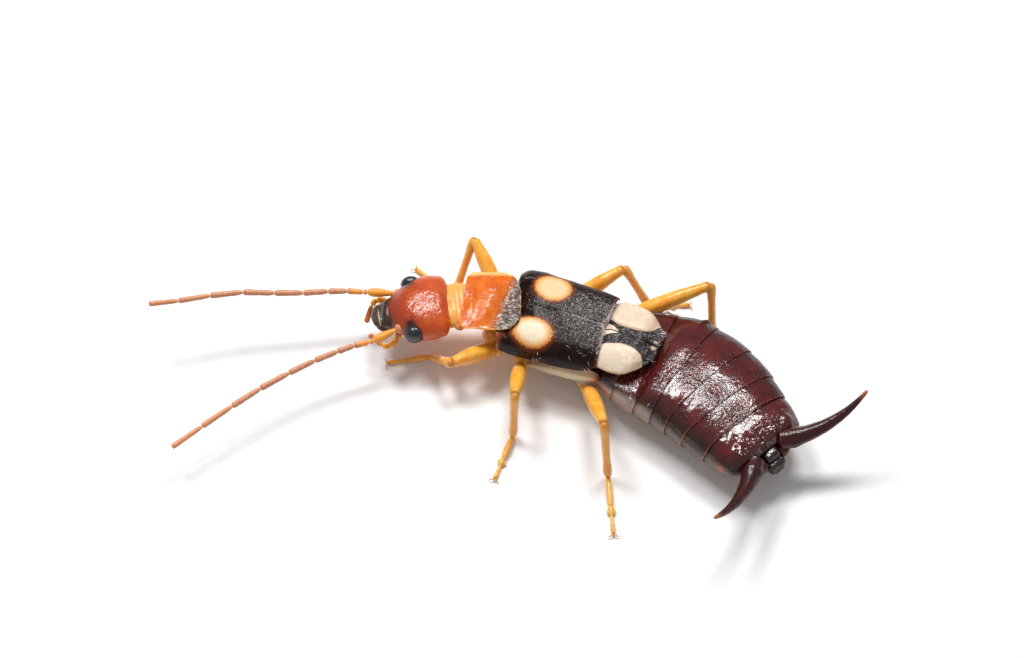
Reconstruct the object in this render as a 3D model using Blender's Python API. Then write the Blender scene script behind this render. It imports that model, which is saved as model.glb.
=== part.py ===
"""An earwig at life size, standing on the floor: a still model for a display case.

Metres, +Z up, the floor at Z = 0. The head points to -Y, the forceps to +Y, and the insect's left is +X.
Places along the body are worked out in the body's own frame, whose Y axis runs through the wing cases.
One empty carries every piece, and sets the middle of the model's box over the origin.
"""

import math

import bmesh
import bpy
from mathutils import Matrix, Vector

MM = 0.001

# Middle of the model's own box, in the body's frame: the empty moves it to the origin.
BOX_MIDDLE = Vector((2.484, 0.155, 0.0)) * MM

# Room between two neighbouring pieces, and round an eye in its socket.
GAP = 0.25 * MM
EYE_GAP = 0.12 * MM

# Head: a wedge of a capsule, turned to the left and tipped down.
HEAD_BACK = Vector((0.57, -2.28, 1.90)) * MM
HEAD_TURN = math.radians(25)
HEAD_TIP = math.radians(9)
HEAD_LENGTH = 2.20 * MM
HEAD_HALF_WIDTH = 1.17 * MM
HEAD_RISE = 0.60 * MM
HEAD_FALL = 0.62 * MM
EYE_FROM_BACK = 1.15 * MM
EYE_FROM_MIDDLE = 0.96 * MM
EYE_HEIGHT = 0.05 * MM
EYE_HALF_SIZE = Vector((0.25, 0.35, 0.32)) * MM
SOCKET_FROM_BACK = 1.60 * MM
SOCKET_FROM_MIDDLE = 0.62 * MM
SOCKET_HEIGHT = 0.06 * MM
SOCKET_RADIUS = 0.27 * MM
SOCKET_LENGTH = 0.16 * MM

# Feelers: the length of each joint from the head out, and the way it points, in degrees from -Y towards +X.
FEELER_JOINTS_LEFT = (0.62, 0.14, 0.52, 0.57, 0.80, 0.94, 1.07, 1.10, 1.19, 1.20)
FEELER_JOINTS_RIGHT = (0.66, 0.14, 0.52, 0.62, 0.82, 0.93, 1.03, 1.08, 1.05, 0.97)
FEELER_TURNS_LEFT = (47, 40, 35, 42, 44, 49, 52, 56, 58, 59)
FEELER_TURNS_RIGHT = (26, 22, 20, 25, 28, 24, 22, 31, 35, 31)
FEELER_SLOPE_LEFT = -0.055
FEELER_SLOPE_RIGHT = 0.085
FEELER_RADIUS = 0.25 * MM
FEELER_TIP_RADIUS = 0.17 * MM

# Prothorax: the shield behind the head, its flesh below, and the neck.
SHIELD_MIDDLE = Vector((0.10, -0.98, 2.10)) * MM
SHIELD_TURN = math.radians(20)
SHIELD_LENGTH = 1.90 * MM
SHIELD_HALF_WIDTH = 1.12 * MM
SHIELD_SLANT = 0.14 * MM
SHIELD_RISE = 0.28 * MM
SHIELD_FALL = 0.24 * MM
NECK_RADIUS = 0.44 * MM

# Wing cases and the folded wing tips behind them.
CASE_FRONT = -0.44 * MM
CASE_BACK = 2.88 * MM
CASE_HALF_WIDTH = 1.58 * MM
CASE_TOP = 2.52 * MM
CASE_DEPTH = 0.88 * MM
CASE_THICKNESS = 0.42 * MM
CASE_SHIFT = -0.12 * MM
WING_TIP_END = 4.50 * MM
WING_TIP_HALF_WIDTH = 0.62 * MM
WING_TIP_FROM_MIDDLE = 0.78 * MM
WING_TIP_TOP = 2.46 * MM
WING_TIP_HALF_THICKNESS = 0.21 * MM

# Thorax under the wing cases.
THORAX_FRONT = -0.05 * MM
THORAX_BACK = 2.80 * MM
THORAX_HALF_WIDTH = 1.42 * MM
THORAX_AXIS_HEIGHT = 1.05 * MM
THORAX_RISE = 0.50 * MM
THORAX_FALL = 0.37 * MM

# Abdomen: a spine that runs straight, bends to the left and runs straight again. Towards its end the rings
# turn back a little, so that the left side reaches further.
SPINE_START = Vector((-0.06, 3.05, 0.0)) * MM
SPINE_STRAIGHT = 1.38 * MM
SPINE_BEND_RADIUS = 5.20 * MM
SPINE_BEND = math.radians(31)
END_TURN = math.radians(3.5)
END_TURN_START = 4.60 * MM
ABDOMEN_AXIS_HEIGHT = 1.26 * MM
PLATE_ENDS = (0.65, 1.60, 2.65, 3.65, 4.60, 5.45)
PLATE_STEP = 0.07 * MM
ABDOMEN_END = 6.52 * MM
TAIL_GAP = 0.32 * MM
END_ROLL = math.radians(4)

# Forceps: the path of one arm from its root, measured outwards, backwards and up.
ARM_FROM_MIDDLE = 0.92 * MM
ARM_HEIGHT = 1.58 * MM
ARM_BEND = Vector((1.16, 0.78, 0.22)) * MM
ARM_TIP = Vector((2.44, 0.85, 1.15)) * MM
ARM_ROOT_RADIUS = 0.34 * MM
ARM_TIP_RADIUS = 0.06 * MM

# Legs: half thicknesses, and the height of a foot's middle.
THIGH_RADIUS = 0.29 * MM
SHIN_RADIUS = 0.25 * MM
FOOT_RADIUS = 0.23 * MM
FOOT_HEIGHT = 0.19 * MM
CLAW_LENGTH = 0.22 * MM

# Each leg's places: root, hip and knee, then the ankle and the toe on the floor.
LEGS = {
    "leg_front_left": ((0.62, -0.80, 1.2), (0.98, -0.44, 0.9), (2.48, -1.48, 1.62), (1.65, -2.48), (2.33, -3.78)),
    "leg_front_right": ((-0.5, -1.1, 1.2), (-0.9, -1.05, 0.9), (-2.1, -2.43, 1.95), (-0.91, -2.65), (-1.42, -4.25)),
    "leg_middle_left": ((0.82, 0.50, 0.92), (1.3, 0.46, 0.74), (3.25, 1.0, 2.22), (3.56, 1.06), (5.28, 1.06)),
    "leg_middle_right": ((-0.8, 0.8, 0.92), (-1.3, 0.96, 0.74), (-2.76, 2.57, 1.93), (-2.76, 3.4), (-3.26, 4.70)),
    "leg_hind_left": ((0.82, 2.42, 0.92), (1.3, 2.76, 0.74), (3.45, 4.11, 2.52), (3.91, 4.45), (5.88, 5.36)),
    "leg_hind_right": ((-0.8, 2.34, 0.92), (-1.3, 2.7, 0.74), (-2.98, 5.48, 2.16), (-2.35, 5.8), (-1.72, 7.4)),
}

AMBER = (0.90, 0.42, 0.05)
RED_BROWN = (0.38, 0.05, 0.015)
ORANGE_RED = (0.66, 0.18, 0.04)
BROWN = (0.42, 0.12, 0.05)
MAROON = (0.07, 0.008, 0.008)
BLACK_BROWN = (0.03, 0.014, 0.012)
CREAM = (0.78, 0.62, 0.40)
SLATE = (0.02, 0.022, 0.026)
PALE_BROWN = (0.30, 0.12, 0.04)

ACROSS = Vector((1, 0, 0))
BACKWARDS = Vector((0, 1, 0))
UP = Vector((0, 0, 1))


def clear_scene():
    for thing in list(bpy.data.objects):
        bpy.data.objects.remove(thing, do_unlink=True)


def finish_material(name, color, roughness):
    material = bpy.data.materials.new(name)
    material.use_nodes = True
    shader = material.node_tree.nodes["Principled BSDF"]
    shader.inputs["Base Color"].default_value = (*color, 1.0)
    shader.inputs["Roughness"].default_value = roughness
    shader.inputs["Metallic"].default_value = 0.0
    return material


def object_of(mesh, name):
    thing = bpy.data.objects.new(name, mesh)
    bpy.context.scene.collection.objects.link(thing)
    return thing


def mix(low, high, share):
    return low + (high - low) * share


def profile(stations, place):
    """The values at a place along a list of stations, each a place and its values, mixed between two of them."""
    for before, after in zip(stations, stations[1:]):
        if place <= after[0]:
            share = max(0.0, (place - before[0]) / (after[0] - before[0]))
            return [mix(a, b, share) for a, b in zip(before[1:], after[1:])]
    return list(stations[-1][1:])


def oval(centre, across, half_width, rise, fall, power, sides):
    """One upright ring of a loft: a rounded box for a power over 2, an ellipse at 2."""
    ring = []
    for step in range(sides):
        angle = 2 * math.pi * (step + 0.5) / sides
        side = math.copysign(abs(math.cos(angle)) ** (2 / power), math.cos(angle))
        lift = math.copysign(abs(math.sin(angle)) ** (2 / power), math.sin(angle))
        ring.append(centre + across * side * half_width + UP * lift * (rise if lift > 0 else fall))
    return ring


def loft(name, rings):
    """A closed body through rings of equal count, with a flat cap on each end."""
    shape = bmesh.new()
    loops = [[shape.verts.new(point) for point in ring] for ring in rings]
    for near, far in zip(loops, loops[1:]):
        for index, vertex in enumerate(near):
            following = (index + 1) % len(near)
            shape.faces.new((vertex, near[following], far[following], far[index]))
    shape.faces.new(loops[0])
    shape.faces.new(loops[-1])
    bmesh.ops.recalc_face_normals(shape, faces=shape.faces)
    mesh = bpy.data.meshes.new(name)
    shape.to_mesh(mesh)
    shape.free()
    return object_of(mesh, name)


def tube(name, points, radii, bevel_resolution=2):
    """A closed tube through the points, with its own radius at each: a curve with a round bevel."""
    curve = bpy.data.curves.new(name, "CURVE")
    curve.dimensions = "3D"
    curve.bevel_depth = 1.0
    curve.bevel_resolution = bevel_resolution
    curve.use_fill_caps = True
    spline = curve.splines.new("POLY")
    spline.points.add(len(points) - 1)
    for knot, point, radius in zip(spline.points, points, radii):
        knot.co = (*point, 1.0)
        knot.radius = radius
    drawn = object_of(curve, name + "_path")
    graph = bpy.context.evaluated_depsgraph_get()
    mesh = bpy.data.meshes.new_from_object(drawn.evaluated_get(graph))
    shape = bmesh.new()
    shape.from_mesh(mesh)
    bmesh.ops.remove_doubles(shape, verts=shape.verts, dist=0.0001 * MM)
    bmesh.ops.recalc_face_normals(shape, faces=shape.faces)
    shape.to_mesh(mesh)
    shape.free()
    made = object_of(mesh, name)
    made.matrix_world = drawn.matrix_world
    bpy.data.objects.remove(drawn, do_unlink=True)
    bpy.data.curves.remove(curve)
    return made


def limb(name, start, end, radii, bow=0.0):
    """A limb's length from start to end, bowed upwards, with its radii spread evenly and both ends domed."""
    along = (end - start).normalized()
    points = [start - along * radii[0] * 0.45]
    for index in range(len(radii)):
        share = index / (len(radii) - 1)
        points.append(start.lerp(end, share) + UP * bow * 4 * share * (1 - share))
    points.append(end + along * radii[-1] * 0.45)
    return tube(name, points, [radii[0] * 0.55, *radii, radii[-1] * 0.55])


def ball(name, half_size, frame, rings, segments):
    shape = bmesh.new()
    bmesh.ops.create_uvsphere(shape, u_segments=segments, v_segments=rings, radius=1.0)
    mesh = bpy.data.meshes.new(name)
    shape.to_mesh(mesh)
    shape.free()
    mesh.transform(frame @ Matrix.Diagonal((*half_size, 1.0)))
    return object_of(mesh, name)


def block(name, low, high):
    shape = bmesh.new()
    bmesh.ops.create_cube(shape, size=1.0)
    mesh = bpy.data.meshes.new(name)
    shape.to_mesh(mesh)
    shape.free()
    mesh.transform(Matrix.Translation((low + high) / 2) @ Matrix.Diagonal((*(high - low), 1.0)))
    return object_of(mesh, name)


def apply_boolean(body, operation, others):
    """Joins or cuts, with the solver that keeps shapes of a tenth of a millimetre closed."""
    group = bpy.data.collections.new(operation.lower())
    bpy.context.scene.collection.children.link(group)
    for other in others:
        group.objects.link(other)
    modifier = body.modifiers.new(operation.title(), "BOOLEAN")
    modifier.operation = operation
    modifier.solver = "MANIFOLD"
    modifier.operand_type = "COLLECTION"
    modifier.collection = group
    graph = bpy.context.evaluated_depsgraph_get()
    mesh = bpy.data.meshes.new_from_object(body.evaluated_get(graph))
    body.modifiers.clear()
    body.data = mesh
    for other in others:
        bpy.data.objects.remove(other, do_unlink=True)
    bpy.data.collections.remove(group)


def keep_largest(body):
    """Drops every closed surface of the mesh but the one with the largest box."""
    shape = bmesh.new()
    shape.from_mesh(body.data)
    left = set(shape.verts)
    islands = []
    while left:
        reached = [left.pop()]
        island = set(reached)
        while reached:
            for edge in reached.pop().link_edges:
                for vertex in edge.verts:
                    if vertex in left:
                        left.discard(vertex)
                        island.add(vertex)
                        reached.append(vertex)
        islands.append(island)

    def box_room(island):
        sizes = [max(v.co[axis] for v in island) - min(v.co[axis] for v in island) for axis in range(3)]
        return sizes[0] * sizes[1] * sizes[2]

    islands.sort(key=box_room)
    for island in islands[:-1]:
        bmesh.ops.delete(shape, geom=list(island), context="VERTS")
    shape.to_mesh(body.data)
    shape.free()


def fuse(name, pieces, cutters=()):
    """One closed body from pieces that run into each other, less the cutters."""
    body = pieces[0]
    if len(pieces) > 1:
        apply_boolean(body, "UNION", pieces[1:])
    if cutters:
        apply_boolean(body, "DIFFERENCE", cutters)
    keep_largest(body)
    body.name = name
    body.data.name = name
    return body


def head_frame():
    turned = Matrix.Rotation(HEAD_TURN, 4, "Z") @ Matrix.Rotation(HEAD_TIP, 4, "X")
    return Matrix.Translation(HEAD_BACK) @ turned


def shield_frame():
    return Matrix.Translation(SHIELD_MIDDLE) @ Matrix.Rotation(SHIELD_TURN, 4, "Z")


def spine(distance):
    """The frame of the abdomen at a distance along its spine: Y along it, X to the insect's left."""
    bent = max(0.0, min(distance - SPINE_STRAIGHT, SPINE_BEND_RADIUS * SPINE_BEND))
    angle = bent / SPINE_BEND_RADIUS
    before = min(distance, SPINE_STRAIGHT)
    past = distance - before - bent
    x = SPINE_BEND_RADIUS * (1 - math.cos(angle)) + past * math.sin(angle)
    y = before + SPINE_BEND_RADIUS * math.sin(angle) + past * math.cos(angle)
    turned_back = END_TURN * max(0.0, min(1.0, (distance - END_TURN_START) / (ABDOMEN_END - END_TURN_START)))
    return Matrix.Translation(SPINE_START + Vector((x, y, 0))) @ Matrix.Rotation(turned_back - angle, 4, "Z")


def tail_frame():
    """The frame of the forceps' roots: at the end of the abdomen, rolled a little to the left."""
    lift = Matrix.Translation(Vector((0, 0, ABDOMEN_AXIS_HEIGHT)))
    return spine(ABDOMEN_END + TAIL_GAP) @ lift @ Matrix.Rotation(END_ROLL, 4, "Y") @ lift.inverted()


def eye_ball(name, side, spread):
    centre = Vector((side * EYE_FROM_MIDDLE, -EYE_FROM_BACK, EYE_HEIGHT))
    half_size = EYE_HALF_SIZE + Vector((spread, spread, spread))
    return ball(name, half_size, head_frame() @ Matrix.Translation(centre), 10, 14)


def feeler_socket(side):
    """The middle of a feeler's socket on the brow and the way it faces, in the head's frame."""
    place = Vector((side * SOCKET_FROM_MIDDLE, -SOCKET_FROM_BACK, SOCKET_HEIGHT))
    return place, Vector((side * 0.45, -0.88, 0.12)).normalized()


def feeler_room(side):
    """The room kept free round the root of a feeler, in the head's frame."""
    socket, facing = feeler_socket(side)
    start = socket + facing * (SOCKET_LENGTH - 0.01 * MM)
    return tube("feeler_room", [start, start + facing * 1.2 * MM], [FEELER_RADIUS + GAP * 0.8] * 2)


def make_head():
    """The capsule, the upper lip over two jaws, the rims of the feeler sockets and a pair of palps."""
    # Share of the length from the back, then shares of the half width, the rise and the fall.
    stations = (
        (0.00, 0.66, 0.42, 0.40),
        (0.05, 0.87, 0.68, 0.66),
        (0.16, 0.97, 0.90, 0.86),
        (0.34, 1.00, 1.00, 0.98),
        (0.50, 0.96, 0.99, 1.00),
        (0.64, 0.82, 0.88, 0.96),
        (0.76, 0.64, 0.68, 0.84),
        (0.88, 0.50, 0.46, 0.68),
        (1.00, 0.40, 0.24, 0.50),
    )
    rings = []
    for share, width, rise, fall in stations:
        centre = BACKWARDS * -share * HEAD_LENGTH
        rings.append(
            oval(centre, ACROSS, width * HEAD_HALF_WIDTH, rise * HEAD_RISE, fall * HEAD_FALL, 2.2, 24)
        )
    pieces = [loft("capsule", rings)]
    lip = []
    for back, width, rise in ((1.95, 0.40, 0.14), (2.20, 0.40, 0.10), (2.34, 0.33, 0.04), (2.42, 0.20, 0.0)):
        centre = Vector((0, -back, -0.02)) * MM
        lip.append(oval(centre, ACROSS, width * MM, rise * MM, 0.12 * MM, 2.6, 12))
    pieces.append(loft("upper_lip", lip))
    for side in (-1, 1):
        jaw = []
        for back, out, width in ((1.85, 0.30, 0.16), (2.16, 0.28, 0.17), (2.32, 0.20, 0.14), (2.44, 0.08, 0.07)):
            centre = Vector((side * out, -back, -0.26)) * MM
            jaw.append(oval(centre, ACROSS, width * MM, 0.10 * MM, 0.12 * MM, 2.2, 10))
        pieces.append(loft("jaw", jaw))
        socket, facing = feeler_socket(side)
        path = [socket - facing * 0.3 * MM, socket + facing * SOCKET_LENGTH]
        pieces.append(tube("rim", path, [SOCKET_RADIUS, SOCKET_RADIUS]))
        palp = [
            Vector((side * 0.42, -1.90, -0.34)) * MM,
            Vector((side * 0.62, -2.20, -0.52)) * MM,
            Vector((side * 0.54, -2.46, -0.68)) * MM,
            Vector((side * 0.34, -2.60, -0.86)) * MM,
        ]
        pieces.append(tube("palp", palp, [0.22 * MM, 0.23 * MM, 0.21 * MM, 0.12 * MM]))
    rooms = [feeler_room(side) for side in (-1, 1)]
    for piece in pieces + rooms:
        piece.data.transform(head_frame())
    rooms += [eye_ball("eye_room", side, EYE_GAP) for side in (-1, 1)]
    return fuse("head", pieces, rooms)


def make_feeler(name, side, lengths, turns, slope):
    """A chain of rod-shaped joints, each a little wider at its outer end."""
    socket, facing = feeler_socket(side)
    point = head_frame() @ (socket + facing * (SOCKET_LENGTH + GAP))
    run = 0.0
    pieces = []
    for length, turn in zip(lengths, turns):
        share = run / sum(lengths)
        angle = math.radians(turn)
        heading = Vector((math.sin(angle), -math.cos(angle), slope)).normalized()
        radius = mix(FEELER_RADIUS, FEELER_TIP_RADIUS, max(0.0, share - 0.6) / 0.4)
        end = point + heading * length * MM
        start = point - heading * 0.10 * MM if pieces else point
        path = [start, start.lerp(end, 0.25), start.lerp(end, 0.85), end]
        pieces.append(tube("joint", path, [radius * 0.88, radius * 0.97, radius * 1.03, radius * 0.88]))
        point = end
        run += length
    return fuse(name, pieces)


def make_shield(name, spread):
    """The shield behind the head, or the room for it: rounded behind, and cut a little aslant in front."""
    # Share of the length from the front, then shares of the half width and the rise.
    stations = (
        (0.00, 0.84, 0.35),
        (0.04, 0.92, 0.75),
        (0.22, 0.98, 1.00),
        (0.50, 1.00, 0.95),
        (0.68, 0.99, 0.75),
        (0.80, 0.94, 0.55),
        (0.90, 0.79, 0.42),
        (0.97, 0.56, 0.34),
        (1.00, 0.34, 0.28),
    )
    rings = []
    for share, width, rise in stations:
        centre = BACKWARDS * (share - 0.5) * (SHIELD_LENGTH + 2 * spread)
        half_width = width * SHIELD_HALF_WIDTH + spread
        ring = oval(centre, ACROSS, half_width, rise * SHIELD_RISE + spread, SHIELD_FALL + spread, 2.8, 24)
        for point in ring:
            point.y -= SHIELD_SLANT * point.x / SHIELD_HALF_WIDTH * max(0.0, 1 - 2 * share)
        rings.append(ring)
    shield = loft(name, rings)
    shield.data.transform(shield_frame())
    return shield


def leg_root(name, spread):
    """The first length of a leg from inside the body to its hip, or the room for it."""
    root, hip, knee = (Vector(place) * MM for place in LEGS[name][:3])
    radius = THIGH_RADIUS + spread
    if spread:
        inner = root - (hip - root).normalized() * spread
        return tube("room", [inner, hip, hip.lerp(knee, 0.35), hip.lerp(knee, 0.75)], [radius] * 4)
    return tube("root", [root, root.lerp(hip, 0.5), hip], [radius * 0.92, radius, radius * 0.85])


def make_prothorax():
    """The shield with its flesh below and the neck that reaches for the head, hollowed for the front legs."""
    # Place along the shield, half width, rise and fall, all in millimetres.
    stations = (
        (-0.80, 0.42, 0.30, 0.30),
        (-0.55, 0.62, 0.45, 0.50),
        (0.00, 0.68, 0.50, 0.58),
        (0.35, 0.62, 0.45, 0.55),
        (0.50, 0.45, 0.30, 0.40),
    )
    rings = []
    for y, width, rise, fall in stations:
        centre = Vector((0, y, -0.52)) * MM
        rings.append(oval(centre, ACROSS, width * MM, rise * MM, fall * MM, 2.6, 20))
    flesh = loft("flesh", rings)
    flesh.data.transform(shield_frame())
    away = head_frame().to_3x3() @ BACKWARDS
    front = HEAD_BACK + away * (GAP + 0.03 * MM)
    rear = SHIELD_MIDDLE + Vector((0.0, 0.1, -0.35)) * MM
    neck = tube("neck", [front, front + away * 0.3 * MM, rear], [NECK_RADIUS] * 3, 3)
    rooms = [leg_root(name, GAP) for name in ("leg_front_left", "leg_front_right")]
    return fuse("prothorax", [make_shield("shield", 0.0), flesh, neck], rooms)


def make_thorax():
    """The trunk under the wing cases, hollowed for the middle and hind legs."""
    rings = []
    for share, width in ((0.0, 0.56), (0.08, 0.72), (0.30, 0.86), (0.55, 1.0), (0.85, 1.0), (1.0, 0.82)):
        centre = Vector((0, mix(THORAX_FRONT, THORAX_BACK, share), THORAX_AXIS_HEIGHT))
        rise = THORAX_RISE * min(1.0, width + 0.1)
        rings.append(oval(centre, ACROSS, width * THORAX_HALF_WIDTH, rise, THORAX_FALL, 2.8, 20))
    rooms = [leg_root(name, GAP) for name in LEGS if "front" not in name]
    return fuse("thorax", [loft("thorax", rings)], rooms)


def case_section(half_width, top, depth, side, columns=9):
    """The arched cross-section of one wing case: out from the seam to the lower edge and back inside."""
    power = 2 / 3
    outside = []
    inside = []
    for column in range(columns + 1):
        angle = math.pi / 2 * column / columns
        reach = math.sin(angle) ** power
        lift = math.cos(angle) ** power
        outside.append((half_width * reach, top - depth + depth * lift))
        inside.append(((half_width - CASE_THICKNESS) * reach, top - depth + (depth - CASE_THICKNESS) * lift))
    return [Vector((side * max(x, GAP / 2), 0, z)) for x, z in outside + inside[::-1]]


def make_wing_case(name, side):
    """An arched plate, rounded at the shoulder, with a back edge that slants forward outwards."""
    # Share of the length from the front, share of the half width, then the drop of the top and the lift
    # of the lower edge, in millimetres.
    stations = (
        (0.00, 0.88, 0.24, 0.00),
        (0.05, 0.97, 0.10, 0.00),
        (0.14, 1.01, 0.03, 0.00),
        (0.40, 1.00, 0.00, 0.02),
        (0.70, 0.96, 0.00, 0.07),
        (0.92, 0.90, 0.02, 0.14),
        (1.00, 0.85, 0.06, 0.18),
    )
    rings = []
    for share, width, drop, lift in stations:
        top = CASE_TOP - drop * MM
        ring = case_section(width * CASE_HALF_WIDTH, top, CASE_DEPTH - (drop + lift) * MM, side)
        for point in ring:
            outwards = (abs(point.x) / CASE_HALF_WIDTH) ** 3
            front = CASE_FRONT - 0.02 * MM * outwards
            back = CASE_BACK - 0.30 * MM * outwards
            point.y = mix(front, back, share)
            point.x += CASE_SHIFT * (0.7 + share * 0.3)
        rings.append(ring)
    return fuse(name, [loft(name, rings)], [make_shield("shield_room", GAP)])


def make_wing_tip(name, side):
    """The leathery tip of a folded hind wing, an oval plate that narrows behind."""
    # Share of the length from the front, then shares of the half width and the rise.
    stations = (
        (0.00, 0.92, 0.75),
        (0.08, 0.97, 1.00),
        (0.35, 1.00, 1.00),
        (0.60, 0.90, 0.95),
        (0.80, 0.68, 0.80),
        (0.93, 0.40, 0.50),
        (1.00, 0.16, 0.20),
    )
    front = CASE_BACK + GAP
    rings = []
    for share, width, rise in stations:
        half_width = width * WING_TIP_HALF_WIDTH
        outer = WING_TIP_FROM_MIDDLE + WING_TIP_HALF_WIDTH * (1 - 0.9 * share**3)
        middle = side * max(outer - half_width, GAP / 2 + half_width)
        centre = Vector((middle, mix(front, WING_TIP_END, share), WING_TIP_TOP - WING_TIP_HALF_THICKNESS))
        thickness = WING_TIP_HALF_THICKNESS
        ring = oval(centre, ACROSS, half_width, thickness * rise, thickness, 2.6, 16)
        for point in ring:
            point.y -= 0.30 * MM * (abs(point.x) / CASE_HALF_WIDTH) ** 3 * (1 - share)
        rings.append(ring)
    return loft(name, rings)


def abdomen_ring(distance, shrink):
    """One ring round the abdomen, drawn in by shrink."""
    # Place along the spine, half width, rise and fall, all in millimetres.
    stations = (
        (0.0, 1.42, 0.40, 0.62),
        (0.6, 1.74, 0.44, 0.82),
        (1.2, 1.91, 0.48, 0.94),
        (1.5, 1.96, 0.52, 0.98),
        (1.95, 2.01, 0.90, 1.02),
        (2.6, 2.05, 1.00, 1.05),
        (3.6, 2.04, 1.04, 1.03),
        (4.6, 1.92, 0.98, 0.92),
        (5.4, 1.75, 0.86, 0.78),
        (6.0, 1.62, 0.76, 0.68),
        (6.6, 1.45, 0.62, 0.58),
    )
    width, rise, fall = (value * MM - shrink for value in profile(stations, distance / MM))
    frame = spine(distance)
    across = (frame.to_3x3() @ ACROSS).normalized()
    return oval(frame.translation + UP * ABDOMEN_AXIS_HEIGHT, across, width, rise, fall, 2.4, 28)


def make_abdomen():
    """Overlapping ring plates: each widens to its back rim and steps down to the next one."""
    rings = []
    start = 0.0
    for end in PLATE_ENDS:
        rings.append(abdomen_ring((start + 0.03) * MM, PLATE_STEP))
        rings.append(abdomen_ring(mix(start, end, 0.35) * MM, PLATE_STEP * 0.45))
        rings.append(abdomen_ring(mix(start, end, 0.75) * MM, PLATE_STEP * 0.12))
        rings.append(abdomen_ring(end * MM, 0.0))
        start = end
    rooms = [leg_root(name, GAP) for name in ("leg_hind_left", "leg_hind_right")]
    return fuse("abdomen", [loft("abdomen", rings)], rooms)


def make_last_plate():
    """The broad plate that carries the forceps, with swellings over the arms and a few bumps between them."""
    start = PLATE_ENDS[-1] * MM + GAP
    rings = []
    for share, shrink in ((0.0, 0.07), (0.25, 0.03), (0.55, 0.0), (0.85, 0.02), (1.0, 0.12)):
        rings.append(abdomen_ring(mix(start, ABDOMEN_END, share), shrink * MM))
    pieces = [loft("plate", rings)]
    # Place along the spine, distance from the middle, height over the axis and radius, in millimetres.
    for along, out, height, radius in ((6.28, 0.94, 0.38, 0.26), (6.34, 0.32, 0.54, 0.16), (6.06, 0.55, 0.62, 0.13)):
        for side in (-1, 1):
            place = Vector((side * out * MM, 0, ABDOMEN_AXIS_HEIGHT + height * MM))
            frame = spine(along * MM) @ Matrix.Translation(place)
            pieces.append(ball("bump", Vector((radius, radius, radius)) * MM, frame, 6, 8))
    return fuse("last_plate", pieces)


def make_end_plate():
    """The small plate between the roots of the forceps."""
    # Place behind the last plate, half width, rise and fall, all in millimetres.
    stations = (
        (0.00, 0.50, 0.38, 0.58),
        (0.16, 0.46, 0.30, 0.56),
        (0.30, 0.34, 0.16, 0.48),
        (0.40, 0.24, 0.04, 0.38),
    )
    rings = []
    for back, width, rise, fall in stations:
        centre = Vector((0, back, 1.14)) * MM
        rings.append(oval(centre, ACROSS, width * MM, rise * MM, fall * MM, 3.0, 14))
    plate = loft("end_plate", rings)
    plate.data.transform(tail_frame())
    return plate


def make_forceps_arm(name, side):
    """One arm: out, back and up from its flat root along a single bend, tapering to a point."""
    frame = tail_frame()
    steps = 14
    points = []
    radii = []
    for step in range(steps + 1):
        share = step / steps
        path = ARM_BEND * 2 * share * (1 - share) + ARM_TIP * share**2
        points.append(frame @ Vector((side * (ARM_FROM_MIDDLE + path.x), path.y, ARM_HEIGHT + path.z)))
        radii.append(mix(ARM_ROOT_RADIUS, ARM_TIP_RADIUS, share**0.9))
    arm = tube(name, points, radii, 3)
    ahead = block("ahead_of_root", Vector((-3, -2, -3)) * MM, Vector((3, 0, 3)) * MM)
    ahead.data.transform(spine(ABDOMEN_END + TAIL_GAP))
    return fuse(name, [arm], [ahead])


def make_leg(name):
    """Root, thigh, shin, a foot of three joints and two claws, all run together, with a flat sole."""
    hip, knee = (Vector(place) * MM for place in LEGS[name][1:3])
    ankle, toe = (Vector((*place, 0)) * MM for place in LEGS[name][3:])
    ankle.z = FOOT_HEIGHT + 0.06 * MM
    toe.z = FOOT_HEIGHT - 0.03 * MM
    thigh = [THIGH_RADIUS * share for share in (0.88, 1.0, 1.0, 0.94, 0.86)]
    shin = [SHIN_RADIUS * share for share in (1.0, 1.0, 1.04, 1.02)]
    first = ankle.lerp(toe, 0.46)
    second = ankle.lerp(toe, 0.64)
    pieces = [
        leg_root(name, 0.0),
        limb("thigh", hip, knee, thigh, 0.10 * MM),
        limb("shin", knee, ankle, shin),
        limb("foot_base", ankle, first, [FOOT_RADIUS * 1.05, FOOT_RADIUS, FOOT_RADIUS * 1.02]),
        limb("foot_lobe", first, second, [FOOT_RADIUS, FOOT_RADIUS * 1.15, FOOT_RADIUS * 1.1]),
        limb("foot_end", second, toe, [FOOT_RADIUS * 0.9, FOOT_RADIUS * 0.85, FOOT_RADIUS * 0.95]),
    ]
    ahead = (toe - ankle).normalized()
    aside = ahead.cross(UP).normalized()
    for side in (-1, 1):
        reach = (ahead * 0.75 + aside * side * 0.66) * CLAW_LENGTH
        claw = [toe, toe + reach * 0.6, toe + reach * 1.25 - UP * 0.06 * MM]
        pieces.append(tube("claw", claw, [0.12 * MM, 0.09 * MM, 0.03 * MM], 1))
    floor = block("floor", Vector((-8, -8, -1)) * MM, Vector((8, 12, 0)) * MM)
    return fuse(name, pieces, [floor])


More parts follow.
